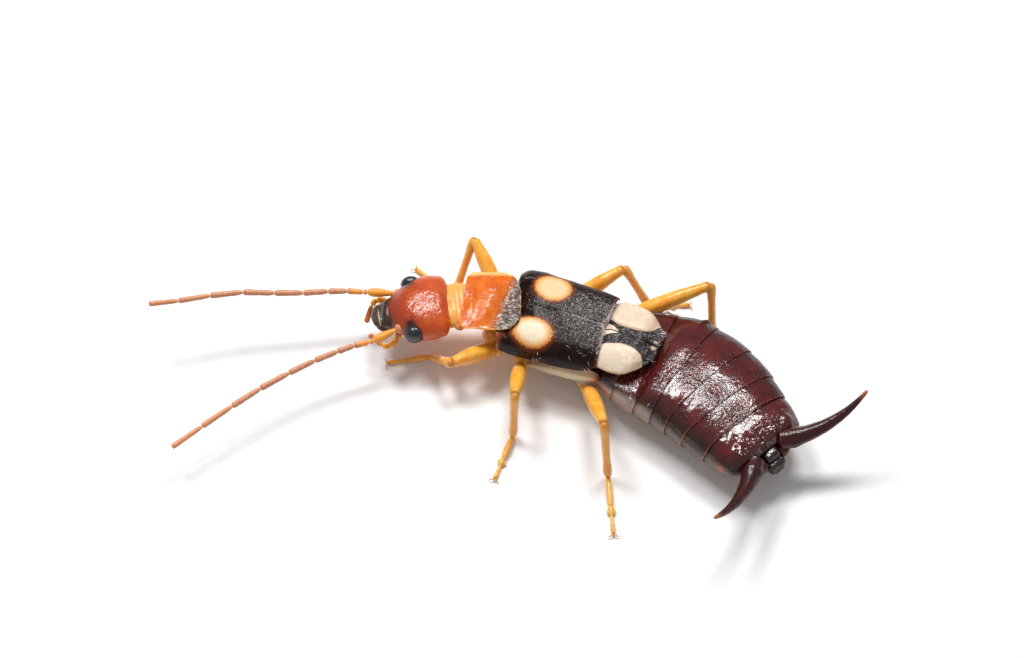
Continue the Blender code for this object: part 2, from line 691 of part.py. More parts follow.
def build():
    clear_scene()
    nodes = [
        (make_head(), RED_BROWN, 0.25),
        (eye_ball("eye_left", 1, 0.0), SLATE, 0.2),
        (eye_ball("eye_right", -1, 0.0), SLATE, 0.2),
        (make_feeler("antenna_left", 1, FEELER_JOINTS_LEFT, FEELER_TURNS_LEFT, FEELER_SLOPE_LEFT), BROWN, 0.45),
        (make_feeler("antenna_right", -1, FEELER_JOINTS_RIGHT, FEELER_TURNS_RIGHT, FEELER_SLOPE_RIGHT), BROWN, 0.45),
        (make_prothorax(), ORANGE_RED, 0.35),
        (make_thorax(), PALE_BROWN, 0.5),
        (make_wing_case("wing_case_left", 1), BLACK_BROWN, 0.3),
        (make_wing_case("wing_case_right", -1), BLACK_BROWN, 0.3),
        (make_wing_tip("wing_tip_left", 1), CREAM, 0.4),
        (make_wing_tip("wing_tip_right", -1), CREAM, 0.4),
        (make_abdomen(), MAROON, 0.25),
        (make_last_plate(), MAROON, 0.3),
        (make_end_plate(), MAROON, 0.35),
        (make_forceps_arm("forceps_left", 1), MAROON, 0.25),
        (make_forceps_arm("forceps_right", -1), MAROON, 0.25),
    ]
    for name in LEGS:
        nodes.append((make_leg(name), AMBER, 0.4))
    family = bpy.data.collections.new("earwig")
    bpy.context.scene.collection.children.link(family)
    carrier = bpy.data.objects.new("earwig_carrier", None)
    family.objects.link(carrier)
    carrier.location = -BOX_MIDDLE
    for node, color, roughness in nodes:
        node.data.materials.clear()
        node.data.materials.append(finish_material(node.name + "_finish", color, roughness))
        node.data.shade_smooth()
        bpy.context.scene.collection.objects.unlink(node)
        family.objects.link(node)
        node.parent = carrier


build()
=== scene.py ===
"""The earwig's looks: fine pieces in place of the plain solids, on a pale floor under soft studio light.

Shapes are worked out in millimetres in the body's own frame, as in the part's source: the insect's left is +X,
the head points to -Y and the floor is at Z = 0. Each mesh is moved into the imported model's frame as it is made.
"""

import itertools
import math

import bmesh
import bpy
import numpy as np
from mathutils import Matrix, Vector


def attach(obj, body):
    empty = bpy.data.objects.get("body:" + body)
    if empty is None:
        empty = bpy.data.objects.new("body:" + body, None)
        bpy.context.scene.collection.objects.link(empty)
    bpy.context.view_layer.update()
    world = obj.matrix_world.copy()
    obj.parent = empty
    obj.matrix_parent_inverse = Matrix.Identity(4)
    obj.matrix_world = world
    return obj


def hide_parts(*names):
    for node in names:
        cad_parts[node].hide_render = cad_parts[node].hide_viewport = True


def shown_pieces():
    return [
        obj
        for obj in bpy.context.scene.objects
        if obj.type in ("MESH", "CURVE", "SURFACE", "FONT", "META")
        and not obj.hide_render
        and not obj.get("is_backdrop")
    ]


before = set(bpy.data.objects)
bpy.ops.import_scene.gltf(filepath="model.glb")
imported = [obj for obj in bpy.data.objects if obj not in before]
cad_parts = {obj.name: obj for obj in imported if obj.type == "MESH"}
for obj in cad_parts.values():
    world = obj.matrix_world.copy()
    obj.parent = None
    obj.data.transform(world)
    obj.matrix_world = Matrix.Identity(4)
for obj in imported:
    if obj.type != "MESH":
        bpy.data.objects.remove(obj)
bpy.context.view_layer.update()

MM = 0.001
BOX_MIDDLE = np.array((2.484, 0.155, 0.0))
BACKWARDS = np.array((0.0, 1.0, 0.0))
UP = np.array((0.0, 0.0, 1.0))

# The camera's place in the body's frame, and the way back to it from the insect.
CAMERA = np.array((87.38, 32.53, 144.45))
CAMERA_AZIMUTH = math.radians(110.6)
CAMERA_ELEVATION = math.radians(57.0)
CAMERA_LENS = 184.7

HEAD_BACK = np.array((0.57, -2.28, 1.90))
HEAD_TURN = 25
HEAD_TIP = 9
HEAD_LENGTH = 2.20
HEAD_HALF_WIDTH = 1.17
HEAD_RISE = 0.60
HEAD_FALL = 0.62
EYE = np.array((0.96, -1.19, 0.06))
EYE_HALF_SIZE = np.array((0.27, 0.34, 0.34))
SOCKET = np.array((0.62, -1.60, 0.06))
SOCKET_FACING = np.array((0.45, -0.88, 0.12))

FEELER_JOINTS_LEFT = (0.62, 0.14, 0.52, 0.57, 0.80, 0.94, 1.07, 1.10, 1.19, 1.20)
FEELER_JOINTS_RIGHT = (0.66, 0.14, 0.52, 0.62, 0.82, 0.93, 1.03, 1.08, 1.05, 0.97)
FEELER_TURNS_LEFT = (47, 40, 35, 42, 44, 49, 52, 56, 58, 59)
FEELER_TURNS_RIGHT = (26, 22, 20, 25, 28, 24, 22, 31, 35, 31)
FEELER_SLOPE_LEFT = -0.055
FEELER_SLOPE_RIGHT = 0.085
FEELER_ROOM = 0.41

SHIELD_MIDDLE = np.array((0.10, -0.98, 2.10))
SHIELD_TURN = 20
SHIELD_LENGTH = 1.90
SHIELD_HALF_WIDTH = 1.12
SHIELD_SLANT = 0.14

CASE_FRONT = -0.44
CASE_BACK = 2.84
CASE_HALF_WIDTH = 1.58
CASE_TOP = 2.52
CASE_DEPTH = 0.88
CASE_SHIFT = -0.12
WING_TIP_START = 2.60
WING_TIP_END = 4.68
WING_TIP_SHIFT = -0.10

SPINE_START = np.array((-0.06, 3.05, 0.0))
SPINE_STRAIGHT = 1.38
SPINE_BEND_RADIUS = 5.20
SPINE_BEND = math.radians(31)
END_TURN = math.radians(3.5)
END_TURN_START = 4.60
ABDOMEN_AXIS_HEIGHT = 1.26
PLATE_ENDS = (0.65, 1.60, 2.65, 3.65, 4.60, 5.45)
ABDOMEN_END = 6.52
TAIL_GAP = 0.32
END_ROLL = 4

ARM_FROM_MIDDLE = 0.92
ARM_HEIGHT = 1.58
ARM_BEND = np.array((1.16, 0.78, 0.22))
ARM_TIP = np.array((2.44, 0.85, 1.15))

# How square the cross-sections of the abdomen and of the wing cases are: 2 is an ellipse.
ABDOMEN_POWER = 2.4
CASE_POWER = 2.7

FACET_REACH = 0.085
FACET_DOME = 0.013
BRISTLE_SIDES = 3
SIDE_NAMES = {-1: "right", 1: "left"}

# The studio, in metres.
FLOOR_HALF_SIZE = 0.4
SKY_STRENGTH = 0.36
LAMP_TARGET = Vector((-0.0018, 0.0, 0.0015))
LAMP_DISTANCE = 0.095
LAMP_SIZE = (0.030, 0.020)
LAMP_POWER = 0.048

LEGS = {
    "leg_front_left": ((0.62, -0.80, 1.2), (0.98, -0.44, 0.9), (2.48, -1.48, 1.62), (1.65, -2.48), (2.33, -3.78)),
    "leg_front_right": ((-0.5, -1.1, 1.2), (-0.9, -1.05, 0.9), (-2.1, -2.43, 1.95), (-0.91, -2.65), (-1.42, -4.25)),
    "leg_middle_left": ((0.82, 0.50, 0.92), (1.3, 0.46, 0.74), (3.25, 1.0, 2.22), (3.56, 1.06), (5.28, 1.06)),
    "leg_middle_right": ((-0.8, 0.8, 0.92), (-1.3, 0.96, 0.74), (-2.76, 2.57, 1.93), (-2.76, 3.4), (-3.26, 4.70)),
    "leg_hind_left": ((0.82, 2.42, 0.92), (1.3, 2.76, 0.74), (3.45, 4.11, 2.52), (3.91, 4.45), (5.88, 5.36)),
    "leg_hind_right": ((-0.8, 2.34, 0.92), (-1.3, 2.7, 0.74), (-2.98, 5.48, 2.16), (-2.35, 5.8), (-1.72, 7.4)),
}

# Place along the spine, half width, rise and fall of the abdomen.
ABDOMEN = (
    (0.0, 1.42, 0.40, 0.62),
    (0.6, 1.74, 0.44, 0.82),
    (1.2, 1.91, 0.48, 0.94),
    (1.5, 1.96, 0.52, 0.98),
    (1.95, 2.01, 0.90, 1.02),
    (2.6, 2.05, 1.00, 1.05),
    (3.6, 2.04, 1.04, 1.03),
    (4.6, 1.92, 0.98, 0.92),
    (5.4, 1.75, 0.86, 0.78),
    (6.0, 1.62, 0.76, 0.68),
    (6.6, 1.45, 0.62, 0.58),
)


# ---------------------------------------------------------------- numbers


def smooth(low, high, value):
    """From 0 at low to 1 at high, with soft ends."""
    share = np.clip((np.asarray(value, float) - low) / (high - low), 0.0, 1.0)
    return share * share * (3 - 2 * share)


def bell(distance, width):
    return np.exp(-((np.asarray(distance, float) / width) ** 2))


def unit(vectors):
    vectors = np.asarray(vectors, float)
    return vectors / np.maximum(np.linalg.norm(vectors, axis=-1, keepdims=True), 1e-12)


def along(stations, places):
    """Smooth values at places along a list of stations, each a place and its values."""
    table = np.array(stations, float)
    knots, values = table[:, 0], table[:, 1:]
    slopes = np.gradient(values, knots, axis=0)
    places = np.clip(np.asarray(places, float), knots[0], knots[-1])
    after = np.clip(np.searchsorted(knots, places), 1, len(knots) - 1)
    before = after - 1
    width = (knots[after] - knots[before])[..., None]
    t = (places - knots[before])[..., None] / width
    return (
        values[before] * (1 + 2 * t) * (1 - t) ** 2
        + slopes[before] * width * t * (1 - t) ** 2
        + values[after] * t * t * (3 - 2 * t)
        - slopes[after] * width * t * t * (1 - t)
    )


def run_along(points):
    """The distance run from the start of a path at each of its points."""
    return np.concatenate(([0.0], np.cumsum(np.linalg.norm(np.diff(points, axis=0), axis=1))))


def bend(points, count):
    """A smooth path of so many points through a few given ones."""
    points = np.array(points, float)
    run = run_along(points)
    return along(np.column_stack((run, points)), np.linspace(0, run[-1], count))


def circle(count):
    """So many angles, evenly spaced round a circle."""
    return np.linspace(0, 2 * math.pi, count, endpoint=False)


def round_power(angle, power):
    """The cosine and sine of a superellipse's angle: the greater the power, the squarer it is."""
    wide = np.sign(np.cos(angle)) * np.abs(np.cos(angle)) ** (2 / power)
    high = np.sign(np.sin(angle)) * np.abs(np.sin(angle)) ** (2 / power)
    return wide, high


def lumps(points, size, seed):
    """Smooth noise from about -1 to 1, in lumps of a size in millimetres."""
    scaled = np.asarray(points, float) / size + seed * 7.31
    cell = np.floor(scaled).astype(np.int64)
    part = scaled - cell
    part = part * part * (3 - 2 * part)
    total = np.zeros(scaled.shape[:-1])
    for corner in itertools.product((0, 1), repeat=3):
        place = cell + np.array(corner)
        code = place[..., 0] * 73856093 ^ place[..., 1] * 19349663 ^ place[..., 2] * 83492791 ^ seed * 40503
        code = (code ^ (code >> 11)) * 1274126177 & 0x7FFFFFFF
        code = (code ^ (code >> 15)) & 0xFFFF
        weight = np.prod(np.where(np.array(corner) == 1, part, 1 - part), axis=-1)
        total += weight * (code / 32767.5 - 1)
    return total


def turn(axis, degrees):
    """A turn about +X, +Y or +Z (axis 0, 1 or 2), for points given as rows."""
    first, second = (axis + 1) % 3, (axis + 2) % 3
    angle = math.radians(degrees)
    matrix = np.eye(3)
    matrix[first, first] = matrix[second, second] = math.cos(angle)
    matrix[first, second], matrix[second, first] = math.sin(angle), -math.sin(angle)
    return matrix


def from_head(points):
    return np.asarray(points, float) @ turn(0, HEAD_TIP) @ turn(2, HEAD_TURN) + HEAD_BACK


def from_shield(points):
    return np.asarray(points, float) @ turn(2, SHIELD_TURN) + SHIELD_MIDDLE


def to_shield(points):
    return (np.asarray(points, float) - SHIELD_MIDDLE) @ turn(2, SHIELD_TURN).T


def spine(distance):
    """The spine's place at a distance along it, and the directions across and along it there."""
    distance = np.asarray(distance, float)
    bent = np.clip(distance - SPINE_STRAIGHT, 0.0, SPINE_BEND_RADIUS * SPINE_BEND)
    angle = bent / SPINE_BEND_RADIUS
    before = np.minimum(distance, SPINE_STRAIGHT)
    past = distance - before - bent
    x = SPINE_BEND_RADIUS * (1 - np.cos(angle)) + past * np.sin(angle)
    y = before + SPINE_BEND_RADIUS * np.sin(angle) + past * np.cos(angle)
    zero = np.zeros_like(x)
    place = np.stack((x, y, zero), -1) + SPINE_START
    faced = angle - END_TURN * np.clip((distance - END_TURN_START) / (ABDOMEN_END - END_TURN_START), 0.0, 1.0)
    across = np.stack((np.cos(faced), -np.sin(faced), zero), -1)
    forward = np.stack((np.sin(faced), np.cos(faced), zero), -1)
    return place, across, forward


def from_tail(points):
    """From the frame of the forceps' roots: X across, Y behind the last plate, Z above the floor."""
    place, across, forward = spine(ABDOMEN_END + TAIL_GAP)
    lift = np.array((0, 0, ABDOMEN_AXIS_HEIGHT))
    rolled = (np.asarray(points, float) - lift) @ turn(1, END_ROLL) + lift
    return rolled @ np.stack((across, forward, UP)) + place


# ---------------------------------------------------------------- meshes


def grid_faces(rows, columns, closed=False):
    """The four-sided faces of a grid of points, row by row."""
    row, column = np.meshgrid(np.arange(rows - 1), np.arange(columns - (not closed)), indexing="ij")
    following = (column + 1) % columns
    corners = (row * columns + column, row * columns + following)
    corners += ((row + 1) * columns + following, (row + 1) * columns + column)
    return np.stack(corners, -1).reshape(-1, 4)


def facing(grid, closed=False):
    """The outward normal at each point of a grid that bulges outwards."""
    down = np.gradient(grid, axis=0)
    over = np.roll(grid, -1, axis=1) - np.roll(grid, 1, axis=1) if closed else np.gradient(grid, axis=1)
    normal = unit(np.cross(down, over))
    middle = grid.reshape(-1, 3).mean(0)
    return -normal if ((grid - middle) * normal).sum() < 0 else normal


def roughen(grid, depth, size, seed, closed=True):
    """A grid pushed in and out along its normals by lumps of a size."""
    return grid + facing(grid, closed) * (depth * lumps(grid, size, seed))[..., None]


class Piece:
    """Surfaces gathered into one mesh, with named values at its points."""

    def __init__(self, name):
        self.name = name
        self.points = []
        self.faces = []
        self.values = {}
        self.patches = []
        self.count = 0

    def add(self, points, faces, **values):
        points = np.asarray(points, float).reshape(-1, 3)
        for block in faces if isinstance(faces, list) else [faces]:
            self.faces.extend((np.asarray(block) + self.count).tolist())
        for name in values:
            self.values.setdefault(name, [])
        for name, stored in self.values.items():
            given = np.broadcast_to(np.asarray(values.get(name, 0.0), float).reshape(-1), (len(points),))
            stored.append((self.count, given))
        self.points.append(points)
        self.count += len(points)

    def sleeve(self, rings, **values):
        """A closed body through rings of points, with a fan over each end."""
        rows, columns = rings.shape[:2]
        ends = [rings[0].mean(0), rings[-1].mean(0)]
        points = np.concatenate((rings.reshape(-1, 3), ends))
        column = np.arange(columns)
        following = (column + 1) % columns
        total = rows * columns
        first = np.stack((following, column, np.full(columns, total)), -1)
        last = np.stack((column + total - columns, following + total - columns, np.full(columns, total + 1)), -1)
        spread = {}
        for name, value in values.items():
            value = np.broadcast_to(np.asarray(value, float), (rows, columns))
            spread[name] = np.concatenate((value.reshape(-1), [value[0].mean(), value[-1].mean()]))
        self.add(points, [grid_faces(rows, columns, True), first, last], **spread)

    def plate(self, grid, thickness, **values):
        """A curved plate below an outer face, with a thickness at each point and closed rims."""
        rows, columns = grid.shape[:2]
        thickness = np.broadcast_to(np.asarray(thickness, float), (rows, columns))
        inner = grid - facing(grid) * thickness[..., None]
        index = np.arange(rows * columns).reshape(rows, columns)
        below = index + rows * columns
        faces = [grid_faces(rows, columns), grid_faces(rows, columns)[:, ::-1] + rows * columns]
        for side in (np.s_[0], np.s_[-1], np.s_[:, 0], np.s_[:, -1]):
            edge, under = index[side], below[side]
            faces.append(np.stack((edge[:-1], edge[1:], under[1:], under[:-1]), -1))
        spread = {}
        for name, value in values.items():
            value = np.broadcast_to(np.asarray(value, float), (rows, columns)).reshape(-1)
            spread[name] = np.concatenate((value, value))
        self.add(np.concatenate((grid.reshape(-1, 3), inner.reshape(-1, 3))), faces, **spread)

    def grow(self, roots, outwards, lean, length, radius, patch, lift, steps):
        """Bristles from roots: each a thin bent cone that starts outwards and lies over along its lean."""
        count, sides = len(roots), BRISTLE_SIDES
        length = np.broadcast_to(length, (count,))[:, None]
        radius = np.broadcast_to(radius, (count,))[:, None, None, None]
        start = unit(outwards * lift + lean * (1 - lift))
        end = unit(start + lean * 0.7 - outwards * 0.25 * (1 - lift))
        aside = unit(np.cross(start, outwards + lean * 0.31 + 0.05))
        over = np.cross(aside, start)
        share = np.linspace(0, 1, steps + 1)[:-1]
        path = roots[:, None] - outwards[:, None] * 0.02
        bent = start[:, None] * share[:, None] + (end - start)[:, None] * share[:, None] ** 2 / 2
        path = path + length[:, None] * bent
        angle = np.arange(sides) * 2 * math.pi / sides
        ring = aside[:, None, None] * np.cos(angle)[:, None] + over[:, None, None] * np.sin(angle)[:, None]
        taper = ((1 - share) ** 0.7)[None, :, None, None]
        rings = path[:, :, None] + ring * radius * taper
        ends = roots + length * (start + (end - start) / 2)
        points = np.concatenate((rings.reshape(count, -1, 3), ends[:, None]), 1)
        each = steps * sides + 1
        quads = grid_faces(steps, sides, True)
        column = np.arange(sides)
        top = (steps - 1) * sides
        tips = np.stack((column + top, (column + 1) % sides + top, np.full(sides, each - 1)), -1)
        offset = (np.arange(count) * each)[:, None, None]
        share_up = np.concatenate((np.repeat(share, sides), [1.0]))
        around = np.concatenate((np.tile(np.arange(sides) / sides, steps), [0.5]))
        spot = patch[:, None] + np.stack((around - 0.5, share_up - 0.5), -1)[None] * 0.003
        self.patches.append(spot.reshape(-1, 2))
        faces = [(quads + offset).reshape(-1, 4), (tips + offset).reshape(-1, 3)]
        self.add(points.reshape(-1, 3), faces, up=np.tile(share_up, count))

    def finish(self, look, slot, *stands_for, sharp=50):
        points = (np.concatenate(self.points) - BOX_MIDDLE) * MM
        mesh = bpy.data.meshes.new(self.name)
        mesh.from_pydata(points.tolist(), [], self.faces)
        if not self.patches:
            shape = bmesh.new()
            shape.from_mesh(mesh)
            bmesh.ops.recalc_face_normals(shape, faces=shape.faces)
            shape.to_mesh(mesh)
            shape.free()
        for name, stored in self.values.items():
            column = np.zeros(self.count)
            for start, given in stored:
                column[start:start + len(given)] = given
            mesh.attributes.new(name, "FLOAT", "POINT").data.foreach_set("value", column)
        if self.patches:
            spots = np.concatenate(self.patches)
            corner = np.zeros(len(mesh.loops), int)
            mesh.loops.foreach_get("vertex_index", corner)
            mesh.uv_layers.new(name="OFBake").uv.foreach_set("vector", spots[corner].reshape(-1))
        mesh.materials.append(look)
        mesh.shade_smooth()
        mesh.set_sharp_from_angle(angle=math.radians(sharp))
        made = bpy.data.objects.new(self.name, mesh)
        bpy.context.scene.collection.objects.link(made)
        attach(made, "root")
        if stands_for:
            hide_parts(*stands_for)
        return made


def sweep(path, half_sizes, sides=24, power=2.0):
    """Rings along a path, with half sizes across it and upwards at each point."""
    path = np.asarray(path, float)
    half_sizes = np.asarray(half_sizes, float)
    if half_sizes.ndim == 1:
        half_sizes = np.stack((half_sizes, half_sizes), -1)
    tangent = unit(np.gradient(path, axis=0))
    across = unit(np.cross(tangent, UP))
    lift = np.cross(across, tangent)
    wide, high = round_power(np.arange(sides) * 2 * math.pi / sides, power)
    return (
        path[:, None]
        + across[:, None] * half_sizes[:, 0, None, None] * wide[None, :, None]
        + lift[:, None] * half_sizes[:, 1, None, None] * high[None, :, None]
    )


def joint(start, end, stations, rows=20, sides=20, flat=1.0, bow=0.0, power=2.0):
    """Rings of one joint of a limb from start to end, with domed ends: its stations give the half thickness."""
    start, end = np.asarray(start, float), np.asarray(end, float)
    share = (1 - np.cos(np.linspace(0, math.pi, rows))) / 2
    path = start + (end - start) * share[:, None] + UP * (bow * 4 * share * (1 - share))[:, None]
    half = along(stations, share)[:, 0]
    length = np.linalg.norm(end - start)
    to_end = np.minimum(share, 1 - share) * length * 1.4
    dome = np.sqrt(np.clip(1 - (1 - to_end / np.maximum(half, 1e-6)) ** 2, 0.02, 1))
    half = half * np.where(to_end > half, 1.0, dome)
    return sweep(path, np.stack((half * flat, half), -1), sides, power), share


def sow(grid, count, seed, chance, closed):
    """Places spread over a grid by area and chance: the places, their normals, and their shares of the grid."""
    random = np.random.default_rng(seed)
    down = np.gradient(grid, axis=0)
    over = np.gradient(grid, axis=1)
    area = np.linalg.norm(np.cross(down, over), axis=-1)
    if closed:
        area[:, 0] = area[:, 1]
        area[:, -1] = area[:, -2]
    area = area * np.clip(np.broadcast_to(chance, area.shape), 0, None)
    picked = random.choice(area.size, count, p=(area / area.sum()).ravel())
    row, column = np.unravel_index(picked, area.shape)
    shift = random.random((2, count, 1)) - 0.5
    places = grid[row, column] + down[row, column] * shift[0] * 0.9 + over[row, column] * shift[1] * 0.9
    shares = np.stack((row / (grid.shape[0] - 1), column / (grid.shape[1] - 1)), -1)
    return places, facing(grid, closed)[row, column], shares, random


def patch_of(shares, cell, cells):
    """The place on the coat's unwrap of shares on the skin numbered cell, where so many skins share the map."""
    return np.stack(((cell + 0.05 + shares[:, 1] * 0.9) / cells, 0.02 + shares[:, 0] * 0.96), -1)


# ---------------------------------------------------------------- materials


def srgb(red, green, blue):
    """A display colour, from 0 to 255, as the linear one that shaders take."""
    linear = [((c / 255 + 0.055) / 1.055) ** 2.4 if c > 10 else c / 255 / 12.92 for c in (red, green, blue)]
    return (*linear, 1.0)


class Look:
    """A material made from nodes, with short calls for the usual ones. Sizes are in millimetres."""

    def __init__(
        self, name, roughness=0.3, coat=0.0, coat_roughness=0.1, bleed=0.0, bleed_size=0.3, specular=0.5, coat_ior=1.5
    ):
        self.material = bpy.data.materials.new(name)
        self.material.use_nodes = True
        self.tree = self.material.node_tree
        self.shader = self.tree.nodes["Principled BSDF"]
        self.set("Roughness", roughness)
        self.set("Coat Weight", coat)
        self.set("Coat Roughness", coat_roughness)
        self.set("Coat IOR", coat_ior)
        self.set("Subsurface Weight", bleed)
        self.set("Subsurface Scale", bleed_size * MM)
        self.set("Subsurface Radius", (1.0, 0.45, 0.2))
        self.set("Specular IOR Level", specular)
        self.surface = None

    def set(self, label, value):
        self.feed(self.shader.inputs[label], value)

    def feed(self, socket, value):
        if isinstance(value, bpy.types.NodeSocket):
            self.tree.links.new(value, socket)
        else:
            socket.default_value = value

    def node(self, kind, **settings):
        made = self.tree.nodes.new(kind)
        for label, value in settings.items():
            setattr(made, label, value)
        return made

    def mask(self, name):
        return self.node("ShaderNodeAttribute", attribute_name=name).outputs["Fac"]

    def place(self, stretch=(1, 1, 1)):
        scaled = self.node("ShaderNodeMapping")
        self.feed(scaled.inputs["Vector"], self.node("ShaderNodeTexCoord").outputs["Object"])
        scaled.inputs["Scale"].default_value = [1000 / s for s in stretch]
        return scaled.outputs["Vector"]

    def noise(self, size, detail=3.0, roughness=0.55, stretch=(1, 1, 1)):
        made = self.node("ShaderNodeTexNoise")
        self.feed(made.inputs["Vector"], self.place(stretch))
        made.inputs["Scale"].default_value = 1 / size
        made.inputs["Detail"].default_value = detail
        made.inputs["Roughness"].default_value = roughness
        return made.outputs["Fac"]

    def cells(self, size):
        made = self.node("ShaderNodeTexVoronoi")
        self.feed(made.inputs["Vector"], self.place())
        made.inputs["Scale"].default_value = 1 / size
        return made.outputs["Distance"]

    def maths(self, operation, first, second):
        made = self.node("ShaderNodeMath", operation=operation)
        self.feed(made.inputs[0], first)
        self.feed(made.inputs[1], second)
        return made.outputs[0]

    def span(self, value, low, high, to_low=0.0, to_high=1.0):
        made = self.node("ShaderNodeMapRange", interpolation_type="SMOOTHSTEP")
        for socket, number in zip(made.inputs, (value, low, high, to_low, to_high)):
            self.feed(socket, number)
        return made.outputs[0]

    def blend(self, share, first, second):
        made = self.node("ShaderNodeMix", data_type="RGBA")
        self.feed(made.inputs[0], share)
        self.feed(made.inputs[6], first)
        self.feed(made.inputs[7], second)
        return made.outputs[2]

    def grain(self, size, detail, first, second):
        """Two colours in blotches of a size."""
        return self.blend(self.span(self.noise(size, detail, 0.6), 0.3, 0.7), first, second)

    def paint(self, color, *layers):
        """Colours laid over a first one, each by a named value of the mesh, and set on the shader."""
        for name, layer in layers:
            color = self.blend(self.mask(name), color, layer)
        self.set("Base Color", color)

    def bump(self, height, depth):
        made = self.node("ShaderNodeBump")
        made.inputs["Distance"].default_value = depth * MM
        self.feed(made.inputs["Height"], height)
        if self.surface:
            self.feed(made.inputs["Normal"], self.surface)
        self.surface = made.outputs["Normal"]
        self.set("Normal", self.surface)
        self.set("Coat Normal", self.surface)


# For each plain material: how it shines, as Look takes it; its ground, as the size and detail of the blotches and
# their two colours; the colours laid over it by the mesh's named values; and its bumps, each as the size, detail and
# roughness of noise or the size of cells, and then a depth.
PLAIN_LOOKS = {
    "head_shell": (
        (0.4, 0.9, 0.15, 0.15, 0.2, 0.1, 1.6),
        (0.5, 4, (178, 60, 6), (198, 84, 18)),
        {
            "cheek": (208, 82, 4), "front": (132, 42, 16), "lip": (50, 30, 18),
            "spot": (54, 12, 8), "line": (104, 36, 16),
        },
        ((0.20, 3, 0.5, 0.026), (0.055, 0.003), (0.05, 2, 0.5, 0.0045)),
    ),
    "eye": (
        (0.40, 1.0, 0.14, 0.0, 0.3, 0.05, 1.6),
        (0.15, 3, (30, 34, 38), (48, 54, 58)),
        {"seam": (8, 9, 10)},
        ((0.03, 2, 0.55, 0.003),),
    ),
    "mouth": (
        (0.30, 0.8, 0.10, 0.1, 0.1, 0.25),
        (0.15, 4, (44, 32, 24), (82, 66, 52)),
        {"cream": (206, 190, 150), "red": (124, 44, 26)},
        ((0.05, 3, 0.55, 0.010),),
    ),
    "leg_amber": (
        (0.36, 0.5, 0.14, 0.35, 0.2, 0.3),
        (0.3, 4, (244, 160, 40), (252, 188, 78)),
        {
            "pale": (252, 206, 132), "pink": (226, 144, 92), "red": (168, 74, 40),
            "brown": (136, 64, 18), "dark": (58, 34, 26),
        },
        ((0.05, 3, 0.6, 0.004), (0.03, 0.0015)),
    ),
    "feeler": (
        (0.42, 0.2, 0.25, 0.1, 0.08),
        (0.06, 4, (180, 112, 76), (222, 156, 116)),
        {"tawny": (220, 140, 84), "amber": (244, 156, 46), "pale": (238, 182, 128), "pink": (226, 140, 100)},
        ((0.03, 3, 0.6, 0.004),),
    ),
    "flesh": (
        (0.42, 0.35, 0.22, 0.35, 0.2),
        (0.2, 5, (158, 134, 114), (184, 162, 138)),
        {
            "amber": (242, 172, 84), "cream": (238, 214, 178), "olive": (146, 116, 84),
            "pinkish": (172, 150, 144), "tan": (160, 96, 40), "dark": (60, 42, 34),
        },
        (),
    ),
    "forceps": (
        (0.34, 0.7, 0.12, 0.0, 0.1, 0.15),
        (0.4, 4, (44, 7, 8), (66, 16, 15)),
        {"ridge": (112, 44, 22), "tooth": (78, 18, 12), "tip": (176, 100, 58)},
        ((0.07, 3, 0.6, 0.010),),
    ),
}


def plain_look(name):
    shine, (size, detail, first, second), layers, bumps = PLAIN_LOOKS[name]
    look = Look(name, *shine)
    ground = look.grain(size, detail, srgb(*first), srgb(*second))
    look.paint(ground, *((mask, srgb(*color)) for mask, color in layers.items()))
    for *pattern, depth in bumps:
        look.bump(look.noise(*pattern) if len(pattern) > 1 else look.cells(*pattern), depth)
    if name == "flesh":
        look.bump(look.noise(0.08, 4, 0.6, (1, 2, 1)), 0.012)
    return look.material


def shield_look():
    look = Look("shield", 0.4, coat_roughness=0.12, bleed=0.25, bleed_size=0.25, specular=0.1, coat_ior=1.7)
    look.set("Coat Weight", look.span(look.noise(0.30, 3, 0.6), 0.44, 0.60, 0.08, 0.75))
    look.paint(
        look.grain(0.35, 4, srgb(208, 92, 14), srgb(228, 122, 36)),
        ("band", srgb(158, 84, 38)),
        ("dusk", srgb(84, 62, 46)),
        ("rim", srgb(250, 186, 106)),
    )
    # Pale streaks over the dusky lobe: partly its own pale scratches, partly painted highlights in place of its glints.
    scratch_and_painted_glint = look.span(look.noise(0.07, 3, 0.6, (1, 2.2, 1)), 0.50, 0.66)
    scratch_and_painted_glint = look.maths("MULTIPLY", scratch_and_painted_glint, look.mask("dusk"))
    base = look.shader.inputs["Base Color"].links[0].from_socket
    look.set("Base Color", look.blend(scratch_and_painted_glint, base, srgb(206, 194, 178)))
    look.bump(look.noise(0.20, 3, 0.5), 0.020)
    look.bump(look.cells(0.06), 0.003)
    look.bump(look.noise(0.05, 2, 0.5), 0.004)
    scratch = look.noise(0.06, 3, 0.6, (1, 3, 1))
    look.bump(look.maths("MULTIPLY", scratch, look.mask("dusk")), 0.03)
    return look.material


def case_look():
    look = Look("wing_case", 0.42, 0.35, 0.14, specular=0.05)
    color = look.grain(0.3, 4, srgb(16, 5, 4), srgb(36, 14, 10))
    color = look.blend(look.mask("shoulder"), color, srgb(168, 80, 28))
    fray = look.maths("ADD", look.mask("spot"), look.span(look.noise(0.08, 3), 0, 1, -0.10, 0.10))
    color = look.blend(look.span(fray, 0.04, 0.40), color, srgb(112, 48, 16))
    color = look.blend(look.span(fray, 0.34, 0.50), color, srgb(212, 134, 60))
    color = look.blend(look.span(fray, 0.46, 0.74), color, srgb(232, 186, 124))
    bright = look.maths("MULTIPLY", look.span(fray, 0.66, 1.0), look.mask("bright"))
    color = look.blend(bright, color, srgb(240, 224, 196))
    color = look.blend(look.mask("edge"), color, srgb(118, 58, 34))
    look.set("Base Color", color)
    look.bump(look.noise(0.06, 3, 0.6), 0.010)
    strokes = look.noise(0.03, 2, 0.5, (1.0, 3.0, 1.0))
    look.bump(look.maths("MULTIPLY", strokes, look.mask("rough")), 0.035)
    return look.material


